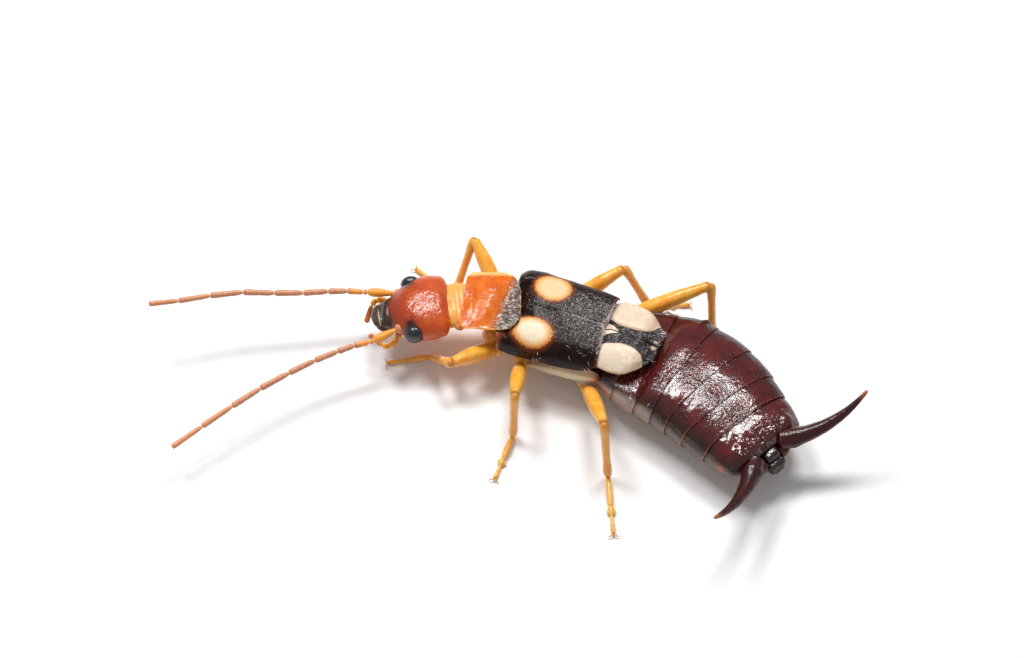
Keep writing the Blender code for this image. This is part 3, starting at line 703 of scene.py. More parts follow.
def wing_tip_look():
    look = Look("wing_tip", 0.40, coat_roughness=0.14, bleed=0.2, bleed_size=0.2, specular=0.2, coat_ior=1.6)
    shiny = look.span(look.noise(0.10, 3, 0.6), 0.45, 0.60, 0.10, 1.0)
    look.set("Coat Weight", look.maths("MULTIPLY", shiny, look.span(look.mask("black"), 0.0, 1.0, 0.2, 0.9)))
    cream = look.grain(0.12, 5, srgb(226, 202, 174), srgb(240, 222, 202))
    cream = look.blend(look.span(look.noise(0.05, 3), 0.62, 0.74), cream, srgb(200, 160, 110))
    color = look.blend(look.mask("tan"), cream, srgb(178, 116, 62))
    fray = look.maths("ADD", look.mask("black"), look.span(look.noise(0.05, 3), 0, 1, -0.12, 0.12))
    color = look.blend(look.span(fray, 0.35, 0.6), color, srgb(30, 20, 18))
    look.set("Base Color", color)
    look.bump(look.noise(0.06, 4, 0.6), 0.006)
    look.bump(look.maths("MULTIPLY", look.noise(0.03, 2, 0.5, (1, 3, 1)), look.mask("black")), 0.03)
    return look.material


def abdomen_look():
    look = Look("abdomen_shell", 0.36, 0.8, 0.10, specular=0.08, coat_ior=1.9)
    glints = look.span(look.noise(0.07, 2, 0.5), 0.42, 0.58)
    faded = look.maths("SUBTRACT", 1.0, look.maths("MULTIPLY", look.mask("crown"), look.maths("SUBTRACT", 1.0, glints)))
    look.set("Coat Weight", look.maths("MULTIPLY", faded, look.span(look.mask("crown"), 0.0, 0.5, 0.45, 1.0)))
    look.paint(
        look.grain(0.6, 4, srgb(66, 8, 8), srgb(94, 20, 18)),
        ("shade", srgb(36, 18, 16)),
        ("flank", srgb(166, 150, 140)),
        ("tan", srgb(176, 108, 56)),
        ("front", srgb(34, 10, 10)),
        ("rim", srgb(186, 98, 40)),
        ("cream", srgb(240, 226, 208)),
    )
    look.bump(look.noise(0.16, 4, 0.5), 0.014)
    look.bump(look.maths("MULTIPLY", look.noise(0.07, 2, 0.6), look.mask("crown")), 0.030)
    return look.material


def bristle_look():
    look = Look("bristle", 0.3, coat=0.5)
    look.paint(srgb(190, 182, 176), ("up", srgb(252, 248, 244)))
    return look.material


def floor_look():
    look = Look("floor", 0.6)
    look.set("Base Color", look.grain(6.0, 3, srgb(244, 244, 245), srgb(247, 247, 247)))
    return look.material


# ---------------------------------------------------------------- head


def capsule_grid(rows, columns):
    """The head's capsule in its own frame, with the share of its length at each point."""
    # Share of the length from the back, then the shares of the half width, rise and fall.
    stations = (
        (0.00, 0.66, 0.42, 0.40),
        (0.05, 0.87, 0.68, 0.66),
        (0.16, 0.97, 0.90, 0.86),
        (0.34, 1.00, 1.00, 0.98),
        (0.50, 0.96, 0.99, 1.00),
        (0.64, 0.82, 0.88, 0.96),
        (0.76, 0.64, 0.68, 0.84),
        (0.88, 0.50, 0.46, 0.68),
        (1.00, 0.40, 0.24, 0.50),
    )
    share = np.linspace(0, 1, rows) ** 1.25
    share, angle = np.meshgrid(share, circle(columns) + 0.01, indexing="ij")
    size = along(stations, share)
    wide, high = round_power(angle, 2.2)
    x = wide * size[..., 0] * HEAD_HALF_WIDTH
    z = high * np.where(high > 0, size[..., 1] * HEAD_RISE, size[..., 2] * HEAD_FALL)
    return np.stack((x, -share * HEAD_LENGTH, z), -1), share


def make_head(look, mouth):
    grid, share = capsule_grid(150, 210)
    normal = facing(grid, True)
    x, y, z = grid[..., 0], grid[..., 1], grid[..., 2]
    top = smooth(-0.1, 0.15, z)
    side = np.abs(x)
    mirrored = np.stack((side, y, z), -1)
    eye = np.linalg.norm((mirrored - EYE) / EYE_HALF_SIZE, axis=-1)
    socket = np.linalg.norm(mirrored - SOCKET, axis=-1)
    arm = np.abs(side - (-y - 0.95) * 0.95) / 1.38
    suture = bell(side, 0.020) * smooth(1.05, 0.9, -y)
    suture = suture + bell(arm, 0.020) * smooth(0.9, 1.0, -y) * smooth(1.5, 1.3, -y)
    brow = bell(share - 0.865 - 0.02 * bell(x, 0.3), 0.022) * top
    push = -0.004 * suture * top - 0.010 * brow - 0.025 * bell(eye - 1.02, 0.09) + 0.035 * bell(socket, 0.20)
    push = push + 0.010 * lumps(grid, 0.35, 3) * smooth(0.02, 0.1, share)
    push = push + 0.05 * bell(share - 0.94, 0.06) * top * bell(x, 0.38)
    grid = grid + normal * push[..., None]
    spot = bell(np.linalg.norm(mirrored - (0.79, -1.25, 0.37), axis=-1), 0.21 + 0.03 * lumps(grid, 0.12, 6))
    lip = smooth(1.86, 2.04, -y + 0.10 * smooth(0.0, 0.5, side) + 0.03 * lumps(grid, 0.1, 4))
    head = Piece("head_shell")
    head.sleeve(
        from_head(grid),
        front=smooth(1.10, 1.95, -y) * 0.9,
        lip=lip * smooth(-0.25, 0.0, z),
        spot=np.clip(spot * 1.25, 0, 1) * smooth(0.0, 0.2, z),
        cheek=smooth(0.42, 0.10, z) * smooth(1.45, 1.0, -y) * smooth(0.35, 0.8, side),
        line=np.clip(suture * top, 0, 1) * 0.15 + bell(eye - 1.06, 0.05) * 0.55,
    )
    head.finish(look, "head_shell", "head")

    jaws = Piece("mouth_parts")
    shares = np.linspace(0, 1, 40)
    # Distance ahead of the head's back, half width, rise and fall of the upper lip.
    lip = (
        (0.0, 2.06, 0.40, 0.17, 0.12),
        (0.3, 2.22, 0.43, 0.16, 0.14),
        (0.6, 2.37, 0.42, 0.12, 0.14),
        (0.85, 2.50, 0.31, 0.05, 0.12),
        (1.0, 2.56, 0.13, -0.01, 0.08),
    )
    size = along(lip, shares)
    wide, high = round_power(circle(56), 2.3)
    rings = np.stack(
        (
            wide * size[:, 1, None],
            -size[:, 0, None] - 0.03 * (1 - wide**2) * smooth(0.2, 0.5, shares)[:, None],
            high * np.where(high > 0, size[:, 2, None], size[:, 3, None]) - 0.02,
        ),
        -1,
    )
    line = bell(-rings[..., 1] - 2.29 - 0.02 * bell(rings[..., 0], 0.2), 0.013)
    rings[..., 2] -= 0.012 * line * (rings[..., 2] > 0)
    jaws.sleeve(from_head(rings), cream=line * smooth(0.0, 0.06, rings[..., 2]) * smooth(-0.16, 0.0, rings[..., 0]))
    for sign in (-1, 1):
        # Share along the jaw, then its place aside, ahead and down, and its half thickness.
        track = (
            (0.0, 0.34, 1.80, -0.24, 0.17),
            (0.35, 0.36, 2.08, -0.25, 0.18),
            (0.7, 0.26, 2.34, -0.24, 0.12),
            (1.0, 0.05, 2.50, -0.22, 0.03),
        )
        shares = np.linspace(0, 1, 24)
        jaw = along(track, shares)
        path = np.stack((sign * jaw[:, 0], -jaw[:, 1], jaw[:, 2]), -1)
        half = np.stack((jaw[:, 3], jaw[:, 3] * 0.75), -1)
        jaws.sleeve(from_head(sweep(path, half, 20)), red=smooth(0.3, 1.0, shares)[:, None] * 0.8 + 0.2)
        palp = bend(((sign * 0.14, -1.85, -0.50), (sign * 0.22, -2.10, -0.66), (sign * 0.20, -2.34, -0.72)), 20)
        jaws.sleeve(from_head(sweep(palp, 0.06 - 0.02 * np.linspace(0, 1, 20) ** 3, 14)), red=0.9)
    jaws.finish(mouth, "head_shell")


def make_palps(look):
    """The two long feelers of the jaws, posed as the photograph shows them."""
    left = (
        (0.40, -1.70, -0.42), (0.74, -1.82, -0.36), (0.98, -2.10, -0.46),
        (0.90, -2.34, -0.42), (0.54, -2.72, -0.20),
    )
    right = (
        (-0.40, -1.70, -0.42), (-0.66, -1.98, -0.34), (-0.80, -2.38, -0.22),
        (-0.67, -2.58, -0.35), (-0.19, -2.84, -0.61),
    )
    palps = Piece("jaw_palps")
    for path in (left, right):
        for index, (start, end) in enumerate(zip(path, path[1:])):
            half = (0.10, 0.12, 0.095, 0.085)[index]
            stations = ((0, half * 0.75), (0.25, half * 0.95), (0.75, half * 1.05), (0.93, half), (1, half * 0.7))
            rings, share = joint(from_head(start), from_head(end), stations, 18, 18)
            last = index == len(path) - 2
            red = 0.75 * smooth(0.05, 0.3, share) if last else 0.12 * share
            palps.sleeve(rings, red=red[:, None], pink=0.35 if last else 0.0)
    palps.finish(look, "head_shell")


def make_eye(side, look):
    """An eye of some six hundred domed facets."""
    rounds = []
    for level in (4, 6):
        shape = bmesh.new()
        bmesh.ops.create_icosphere(shape, subdivisions=level, radius=1.0)
        shape.verts.index_update()
        rounds.append(unit(np.array([vertex.co for vertex in shape.verts])))
        faces = np.array([[vertex.index for vertex in face.verts] for face in shape.faces])
        shape.free()
    middles, points = rounds
    nearest = (points @ middles.T).max(1)
    away = np.arccos(np.clip(nearest, -1, 1)) / FACET_REACH
    points = points * (1 - FACET_DOME * away[:, None] ** 2)
    place = points * EYE_HALF_SIZE + EYE
    place[:, 0] *= side
    name = "eye_" + SIDE_NAMES[side]
    eye = Piece(name + "_ball")
    eye.add(from_head(place), faces, seam=smooth(0.6, 1.0, away) * 0.8)
    eye.finish(look, "eye", name, sharp=80)


def make_feeler(name, side, lengths, turns, slope, look):
    """Joints of the true thickness on pale necks; the grids are kept for the feeler's bristles."""
    facing_out = unit(SOCKET_FACING * (side, 1, 1))
    socket = SOCKET * (side, 1, 1)
    piece = Piece(name + "_joints")
    bulb_start, bulb_end = from_head(socket - facing_out * 0.05), from_head(socket + facing_out * 0.24)
    rings, share = joint(bulb_start, bulb_end, ((0, 0.16), (0.4, 0.19), (0.8, 0.16), (1, 0.10)), 20, 28)
    piece.sleeve(rings, pink=0.75)
    start = from_head(socket + facing_out * FEELER_ROOM)
    point = from_head(socket + facing_out * 0.20)
    grids = []
    run = 0.0
    for index, (length, degrees) in enumerate(zip(lengths, turns)):
        angle = math.radians(degrees)
        heading = unit(np.array((math.sin(angle), -math.cos(angle), slope)))
        end = start + heading * length
        passed = run / sum(lengths)
        if index == 0:
            half, stations = 0.145, ((0, 0.5), (0.25, 0.72), (0.6, 1.0), (0.85, 0.92), (1, 0.6))
        elif index == 1:
            half, stations = 0.10, ((0, 0.7), (0.5, 1.0), (1, 0.75))
        else:
            half = 0.104 - 0.020 * max(0.0, passed - 0.55) / 0.45
            stations = ((0, 0.60), (0.10, 0.80), (0.5, 0.92), (0.85, 1.0), (0.96, 0.96), (1, 0.8))
        stations = [(place, half * value) for place, value in stations]
        heading_now = unit(end - point)
        neck = 0.004 if index else 0.0
        rings, share = joint(point + heading_now * neck, end - heading_now * neck, stations, 32, 22)
        rings = roughen(rings, 0.004, 0.05, 5 + index)
        amber = {0: 1.0, 1: 0.9, 2: 0.85}.get(index, 0.0)
        amber = amber * (1 - smooth(0.55, 0.9, share) if index == 2 else 1)
        ends = smooth(0.06, 0.0, share) + smooth(0.97, 1.0, share)
        tawny = smooth(0.45, 0.95, passed) * (0.9 if side > 0 else 0.3)
        amber = np.broadcast_to(amber, share.shape)[:, None]
        piece.sleeve(rings, amber=amber, pale=(ends * 0.7)[:, None], tawny=tawny)
        grids.append((rings, heading_now))
        if index:
            ends = point - heading_now * 0.05, point + heading_now * 0.05
            neck_rings, _ = joint(*ends, ((0, half * 0.6), (1, half * 0.6)), 6, 14)
            piece.sleeve(neck_rings, pale=1.0)
        point = start = end
        run += length
    piece.finish(look, "feeler", name)
    return grids


# ---------------------------------------------------------------- body


def shield_half_width(share):
    # Share of the length from the front, then the share of the half width.
    stations = (
        (0.00, 0.84),
        (0.04, 0.92),
        (0.22, 0.98),
        (0.50, 1.00),
        (0.68, 0.99),
        (0.80, 0.94),
        (0.90, 0.79),
        (0.97, 0.56),
        (1.00, 0.34),
    )
    return along(stations, share)[..., 0] * SHIELD_HALF_WIDTH


def make_shield(look):
    """The shield: a domed disc with clear, slightly turned-up rims and a low dusky lobe behind."""
    share, u = np.meshgrid(np.linspace(0, 1, 110), np.linspace(-1, 1, 130), indexing="ij")
    x = u * shield_half_width(share)
    y = (share - 0.5) * SHIELD_LENGTH + 0.05 * np.abs(u) ** 6 * (1 - share)
    y = y - SHIELD_SLANT * x / SHIELD_HALF_WIDTH * np.clip(1 - 2 * share, 0, None)
    across = x / SHIELD_HALF_WIDTH
    side = np.abs(across)
    behind = from_shield(np.stack((x, y, 0 * x), -1))[..., 1]
    lobe = smooth(-0.62, -0.42, behind + 0.03 * lumps(np.stack((x, y, 0 * x), -1), 0.15, 13))
    crown = smooth(-0.10, 0.42, share) * (1 - 0.78 * smooth(-1.05, -0.48, behind))
    height = 0.06 + 0.22 * crown * np.clip(1 - side**2.4, 0, 1)
    height = height + 0.03 * smooth(0.86, 1.0, side) + 0.02 * smooth(0.03, 0.0, share)
    height = height - 0.006 * bell(x, 0.03) * smooth(0.1, 0.2, share) * smooth(0.6, 0.5, share)
    height = height - 0.012 * bell(share - 0.17 - 0.05 * side, 0.03) * smooth(0.7, 0.4, side)
    height = height - 0.02 * smooth(0.9, 1.0, share) - 0.03 * smooth(0.97, 1.0, side)
    grid = np.stack((x, y, height), -1)
    grid[..., 2] += 0.010 * lumps(grid, 0.30, 11) + 0.003 * lumps(grid, 0.09, 12) + 0.020 * lobe * lumps(grid, 0.13, 14)
    rim = smooth(0.80, 0.90, -across) * (1 - 0.5 * lobe) + 0.8 * smooth(0.93, 0.99, across) * (1 - 0.6 * lobe)
    rim = rim + 0.5 * smooth(0.02, 0.0, share) + 0.35 * smooth(0.975, 1.0, share)
    band = bell(behind + 0.60, 0.07) * 0.8
    thickness = 0.07 * (1 - 0.7 * smooth(0.9, 1.0, side))
    shield = Piece("shield_plate")
    placed = from_shield(grid)
    shield.plate(placed, thickness, dusk=lobe, rim=np.clip(rim, 0, 1), band=band)
    shield.finish(look, "shield", "prothorax")
    return placed, bell(behind + 0.56, 0.07) * smooth(0.95, 0.8, side) + 0.10 * smooth(0.7, 0.9, side) + 0.02


def flesh_rings():
    """Stations of the one skin from the neck to the end of the abdomen."""
    # Place in the body's frame, degrees turned, half width, rise and fall.
    rows = [
        (0.74, -2.62, 1.84, 25, 0.56, 0.24, 0.34),
        (0.57, -2.26, 1.88, 25, 0.76, 0.26, 0.40),
        (0.46, -2.02, 1.88, 24, 0.80, 0.25, 0.40),
        (0.38, -1.80, 1.85, 23, 0.78, 0.24, 0.42),
        (0.26, -1.45, 1.70, 20, 0.70, 0.36, 0.50),
        (0.08, -0.95, 1.58, 19, 0.66, 0.46, 0.56),
        (-0.04, -0.52, 1.42, 12, 0.70, 0.50, 0.52),
        (-0.09, -0.10, 1.20, 6, 0.84, 0.54, 0.44),
        (-0.06, 0.35, 1.08, 1, 1.04, 0.54, 0.38),
        (-0.06, 0.95, 1.05, 0, 1.22, 0.50, 0.36),
        (-0.06, 1.60, 1.05, 0, 1.38, 0.46, 0.36),
        (-0.06, 2.40, 1.06, 0, 1.38, 0.46, 0.38),
        (-0.06, 2.95, 1.12, 0, 1.28, 0.46, 0.44),
    ]
    for distance in (0.4, 0.9, 1.4, 2.0, 2.6, 3.2, 3.8, 4.4, 5.0, 5.6, 6.2):
        place, across, _ = spine(distance)
        width, rise, fall = along(ABDOMEN, distance) - 0.16
        turned = math.degrees(math.atan2(across[1], across[0]))
        rows.append((place[0], place[1], ABDOMEN_AXIS_HEIGHT, turned, width, rise, fall))
    return rows


def make_skin(look):
    rows = np.array(flesh_rings())
    run = run_along(rows[:, :3])
    places = np.linspace(0, run[-1], 300)
    size = along(np.column_stack((run, rows)), places)
    wide, high = round_power(circle(130) + 0.01, ABDOMEN_POWER)
    turned = np.radians(size[:, 3])
    across = np.stack((np.cos(turned), np.sin(turned), np.zeros_like(turned)), -1)
    lift = high[None] * np.where(high[None] > 0, size[:, 5, None], size[:, 6, None])
    grid = size[:, None, :3] + across[:, None] * (wide[None] * size[:, 4, None])[..., None] + UP * lift[..., None]
    y = grid[..., 1]
    fold = 0.5 + 0.5 * np.sin(places * 2 * math.pi / 0.13 + 1.5 * lumps(grid, 0.5, 21).T).T
    pleat = 0.035 * fold * (smooth(-1.6, -1.8, y) + 0.6 * smooth(3.2, 3.6, y))
    rough = 0.02 * lumps(grid, 0.4, 22) + 0.008 * lumps(grid, 0.12, 23)
    grid = grid + facing(grid, True) * (pleat + rough)[..., None]
    side = smooth(0.80, 0.25, np.abs(lift) / 0.5)
    cream = smooth(0.3, 0.9, y) * smooth(3.0, 2.6, y) * side * 0.5
    dark = bell(lift + 0.10 + 0.05 * np.sin(y * 3), 0.025) * smooth(0.2, 0.6, y) * smooth(3.0, 2.8, y)
    dark = dark + 0.35 * bell(wide[None] + 0.1 * np.sin(places * 9)[:, None], 0.05) * smooth(-1.7, -1.9, y)
    skin = Piece("flesh_skin")
    skin.sleeve(grid, amber=smooth(0.55, 0.0, y), cream=cream, dark=np.clip(dark, 0, 1), pinkish=smooth(3.0, 3.4, y))
    skin.finish(look, "trunk", "thorax", "abdomen")


def make_side_plates(look):
    """The pale plates low on the thorax, below the wing cases, and a knob beside the neck on the left."""
    plates = Piece("thorax_side_plates")
    # Front and back along the body, distance aside at both, height at both, half height, and shares of colours.
    for front, back, out_front, out_back, low, high, half, cream, pinkish, amber in (
        (-0.10, 0.82, 1.06, 1.38, 1.30, 1.26, 0.30, 0.3, 0.0, 0.6),
        (0.72, 3.16, 1.50, 1.47, 1.22, 1.50, 0.42, 1.0, 0.0, 0.0),
        (2.25, 3.30, 1.38, 1.46, 0.98, 1.10, 0.26, 0.0, 1.0, 0.0),
    ):
        for sign in (-1, 1):
            share, v = np.meshgrid(np.linspace(0, 1, 64), np.linspace(-1, 1, 36), indexing="ij")
            reach = np.clip(1 - np.abs(2 * share - 1) ** 3.0, 0, 1) ** 0.5
            out = out_front + (out_back - out_front) * share + 0.05 * np.sin(share * math.pi) - 0.14 * v**2
            z = low + (high - low) * share + v * half * (0.15 + 0.85 * reach)
            grid = np.stack((sign * out - 0.08, front + (back - front) * share, z), -1)
            grid = grid + np.array((sign, 0, 0)) * (0.010 * lumps(grid, 0.15, 31))[..., None]
            edge = np.maximum(np.abs(v), np.abs(2 * share - 1))
            olive = cream * (0.75 * smooth(0.0, 0.55, v) + 0.5 * smooth(0.5, 0.1, share))
            plates.plate(
                grid,
                0.05,
                cream=cream,
                pinkish=pinkish,
                amber=amber,
                olive=np.clip(olive, 0, 1) * (1 - amber),
                tan=0.7 * smooth(0.90, 0.97, share) + 0.3 * smooth(0.9, 0.97, edge),
                dark=0.7 * smooth(-0.90, -0.97, v) * cream,
            )
    ends = from_head((0.86, 0.14, -0.02)), from_head((0.94, 0.42, 0.0))
    knob, _ = joint(*ends, ((0, 0.09), (0.6, 0.12), (1, 0.09)))
    plates.sleeve(knob, amber=1.0, tan=0.5)
    plates.finish(look, "trunk")


def case_arc(columns):
    """The unit cross-section of a wing case, in even steps from the seam to the lower edge."""
    fine = np.linspace(0, math.pi / 2, 900)
    reach, lift = np.sin(fine) ** (2 / CASE_POWER), np.cos(fine) ** (2 / CASE_POWER)
    run = np.concatenate(([0], np.cumsum(np.hypot(np.diff(reach) * CASE_HALF_WIDTH, np.diff(lift) * CASE_DEPTH))))
    even = np.linspace(0, run[-1], columns)
    return np.interp(even, run, reach), np.interp(even, run, lift)


def make_wing_case(side, look):
    # Share of the length from the front, share of the half width, drop of the top, lift of the lower edge.
    stations = (
        (0.00, 0.88, 0.20, 0.00),
        (0.05, 0.97, 0.10, 0.00),
        (0.14, 1.01, 0.03, 0.00),
        (0.40, 1.00, 0.00, 0.02),
        (0.70, 0.98, 0.00, 0.07),
        (0.90, 0.93, 0.02, 0.20),
        (1.00, 0.86, 0.05, 0.40),
    )
    share = np.linspace(0, 1, 150)
    reach, lift = case_arc(116)
    size = along(stations, share)
    drop, raised = size[:, 1, None], size[:, 2, None]
    out = np.maximum(reach[None] * size[:, 0, None] * CASE_HALF_WIDTH, 0.008)
    depth = CASE_DEPTH - drop - raised
    z = CASE_TOP - drop - depth + depth * lift[None]
    front = CASE_FRONT - 0.02 * (out / CASE_HALF_WIDTH) ** 3
    back = CASE_BACK + (0.15 if side > 0 else 0.03) * out - 0.08 * bell(out, 0.12)
    y = front + (back - front) * share[:, None]
    z = z - 0.05 * smooth(0.985, 1.0, share)[:, None] - 0.018 * bell(out, 0.04)
    grid = np.stack((side * out + CASE_SHIFT * (0.7 + share[:, None] * 0.3), y, z), -1)
    place = to_shield(grid)
    beyond = np.abs(place[..., 0]) - shield_half_width(place[..., 1] / SHIELD_LENGTH + 0.5)
    beyond = np.maximum(beyond, place[..., 1] - SHIELD_LENGTH / 2)
    under = smooth(0.50, -0.04, beyond)
    grid[..., 2] -= under * np.maximum(0, grid[..., 2] - 2.08)
    grid[..., 2] += 0.012 * lumps(grid, 0.5, 41) * smooth(0, 0.2, lift)[None]
    grid = roughen(grid, 0.004, 0.09, 42, False)
    x = grid[..., 0]
    spot_x, spot_y, half_x, half_y = (0.88, 0.72, 0.53, 0.74) if side > 0 else (-0.90, 0.78, 0.60, 0.68)
    away = np.hypot((x - spot_x) / half_x, (y - spot_y) / half_y)
    spot = smooth(1.35, 0.35, away)
    rear = smooth(1.0, 1.6, y) * smooth(1.10, 0.70, out)
    rough = np.clip(rear + 0.15 * smooth(1.3, 1.0, out), 0, 1)
    shoulder = smooth(-0.10, -0.42, y) * smooth(0.95, 1.35, out) * (0.7 if side > 0 else 0.4)
    edge = smooth(0.965, 0.990, share)[:, None] * 0.6 + smooth(0.04, 0.0, lift)[None] * 0.7
    name = "wing_case_" + SIDE_NAMES[side]
    case = Piece(name + "_shell")
    thickness = 0.06 * (1 - 0.7 * smooth(0.85, 1.0, share))[:, None]
    masks = {"spot": spot, "rough": rough, "shoulder": np.clip(shoulder, 0, 0.9), "edge": np.clip(edge, 0, 1)}
    case.plate(grid, thickness, bright=1.0 if side > 0 else 0.35, **masks)
    case.finish(look, "wing_case", name)
    return grid, spot


def make_wing_tip(side, look):
    """The leathery end of a folded hind wing: a cream swelling outside a dark band along the suture."""
    # Place along the body, then the swelling's inner side and the plate's outer side, both from the suture.
    edges = {
        1: (
            (2.60, 0.70, 1.10), (2.90, 0.60, 1.28), (3.10, 0.52, 1.33), (3.30, 0.45, 1.35), (3.55, 0.38, 1.36),
            (3.80, 0.38, 1.33), (4.00, 0.42, 1.24), (4.16, 0.48, 1.11), (4.30, 0.58, 0.97), (4.40, 0.74, 0.84),
            (4.50, 0.98, 0.70), (4.60, 1.10, 0.58), (4.68, 1.10, 0.46),
        ),
        -1: (
            (2.60, 0.50, 1.10), (2.90, 0.42, 1.32), (3.10, 0.30, 1.38), (3.60, 0.25, 1.38), (3.95, 0.28, 1.30),
            (4.20, 0.36, 1.14), (4.36, 0.52, 0.98), (4.46, 0.74, 0.86), (4.56, 1.00, 0.72), (4.68, 1.10, 0.48),
        ),
    }[side]
    y = np.linspace(WING_TIP_START, WING_TIP_END, 100)[:, None]
    inner, outer = (column[:, None] for column in along(edges, y[:, 0]).T)
    u = np.linspace(0, 1, 84)[None]
    out = 0.012 + (outer - 0.012) * u
    y = y + 0 * out
    inside = np.clip((out - inner) / np.maximum(outer - inner, 0.05), 0, 1)
    swell = 0.07 * np.sqrt(np.clip(4 * inside * (1 - inside), 0, 1)) * smooth(4.50, 3.9, y)
    z = 2.38 - 0.40 * (out / 1.42) ** 2.4 - 0.10 * smooth(0.75, 1.0, u) * smooth(3.6, 4.4, y)
    z = z + swell - 0.14 * smooth(3.10, 2.80, y) - 0.16 * smooth(4.0, 4.68, y) - 0.02 * bell(out, 0.04)
    if side > 0:
        z = z + 0.15 * bell(np.hypot(out - 0.50, y - 4.46), 0.15)
    grid = np.stack((side * out + WING_TIP_SHIFT, y, z), -1)
    grid[..., 2] += 0.008 * lumps(grid, 0.3, 51)
    wedge = smooth(0.03, -0.03, out - 0.27 * (3.40 - y) / 0.55)
    patch = 0.62 * bell(np.hypot((y - 4.54) / 0.17, (out - 0.12) / (0.15 if side > 0 else 0.11)), 1.0)
    pale = np.clip(smooth(-0.03, 0.03, out - inner) + wedge + patch, 0, 1)
    black = (1 - pale) + bell(out, 0.022)
    tan = bell(inside, 0.05) * (inside > 0) + smooth(0.93, 1.0, inside) + 0.5 * bell(y - 4.30, 0.10) + patch
    tan = tan + (0.0 if side > 0 else 0.22)
    name = "wing_tip_" + SIDE_NAMES[side]
    wing = Piece(name + "_fold")
    wing.plate(grid, 0.06, black=np.clip(black, 0, 1), tan=np.clip(tan, 0, 1) * 0.6)
    wing.finish(look, "wing_tip", name)
    return grid, np.clip(1 - pale, 0, 1)


def abdomen_points(distance, angle, shrink):
    """Places on the abdomen's outer form, drawn in by shrink; angles run from the left over the top."""
    place, across, _ = spine(distance)
    size = along(ABDOMEN, distance)
    width, rise, fall = size[..., 0] - shrink, size[..., 1] - shrink, size[..., 2] - shrink
    wide, high = round_power(angle, ABDOMEN_POWER)
    height = ABDOMEN_AXIS_HEIGHT + high * np.where(high > 0, rise, fall)
    return place + across * (wide * width)[..., None] + UP * height[..., None]


def even_angles(low, high, count):
    """Angles whose places lie in nearly even steps round the abdomen."""
    fine = np.linspace(math.radians(low), math.radians(high), 2000)
    x, z = round_power(fine, ABDOMEN_POWER)
    run = np.concatenate(([0], np.cumsum(np.hypot(np.diff(x * 1.9), np.diff(z)))))
    return np.interp(np.linspace(0, run[-1], count), run, fine)


def make_abdomen(look):
    """Overlapping plates over the back and under the belly; the grids are kept for the bristles."""
    back = Piece("abdomen_back_plates")
    belly = Piece("abdomen_belly_plates")
    grids = []
    start = -0.1
    for index, end in enumerate(PLATE_ENDS):
        front = start - 0.14
        distance, angle = np.meshgrid(np.linspace(front, end, 40), even_angles(-34, 214, 204), indexing="ij")
        share = (distance - start) / (end - start)
        lateral = smooth(0.35, -0.35, np.sin(angle))
        waver = lumps(np.stack((angle, angle * 0, angle * 0), -1), 0.4, 60 + index)
        distance = distance - 0.10 * lateral * smooth(0.5, 1.0, share) + 0.02 * waver * share
        step = 0.042 * (1 - smooth(-0.1, 0.80, share)) - 0.004 * bell(share - 0.95, 0.04)
        grid = abdomen_points(distance, angle, step)
        normal = facing(grid)
        knob = 0.0
        if index in (1, 2):
            # A small fold on each side, which covers a gland.
            for sign in (0, math.pi):
                aside = angle - sign - (0.42 if sign == 0 else -0.42)
                knob = knob + 0.10 * bell(np.hypot((share - 0.72) * (end - start), aside * 1.3), 0.10)
        grid = grid + normal * (0.014 * lumps(grid, 0.5, 61) + 0.004 * lumps(grid, 0.11, 62) + knob)[..., None]
        height = np.sin(angle)
        brink = (0.62, 0.62, 0.50, 0.30, 0.25, 0.25)[index]
        flank = smooth(brink, brink - 0.35, height + 0.05 * waver) * (0.95, 0.95, 0.85, 0.5, 0.35, 0.25)[index]
        shade = smooth(0.85, 0.45, height) * 0.85
        out = np.cos(angle) * along(ABDOMEN, distance)[..., 0]
        middle = (0.75, 0.75, 0.70, 0.35, 0.30, 0.25)[index]
        crown = bell(out - middle + 0.12 * waver, (0.75, 0.75, 0.65, 0.55, 0.55, 0.55)[index])
        crown = crown * smooth(0.35, 0.7, height) * (0.5 + 0.5 * smooth(0.0, 0.5, share))
        near_end = 0.12 + 0.88 * smooth(2, 5, index)
        low = smooth(0.75, 0.1, height)
        rim = smooth(0.955, 0.985, share) * (0.15 + 0.85 * low) * np.clip(near_end + 0.4 * low, 0, 1)
        tan = smooth(0.45, -0.05, height) * (0.8, 0.3, 0.1, 0, 0, 0)[index]
        hidden = smooth(0.2, 0.0, share) * 0.5
        back.plate(grid, 0.05, flank=flank, shade=shade, crown=crown, rim=rim, front=hidden, tan=tan)
        grids.append((grid, crown))
        under = np.meshgrid(np.linspace(front, end - 0.02, 32), even_angles(206, 334, 90), indexing="ij")
        tuck = 0.11 + 0.05 * (1 - smooth(front, end, under[0]))
        place = abdomen_points(under[0], under[1], tuck)
        place = roughen(place, 0.02, 0.3, 63, False)
        pale = smooth(-0.80, -0.50, np.sin(under[1])) * 0.7 + bell(np.sin(under[1]) + 0.62, 0.03)
        edge = smooth(0.96, 1.0, (under[0] - front) / (end - front))
        belly.plate(place, 0.04, flank=1.0, cream=np.clip(pale, 0, 1), rim=0.5 * edge)
        start = end
    back.finish(look, "abdomen_shell")
    belly.finish(look, "abdomen_shell")
    return grids


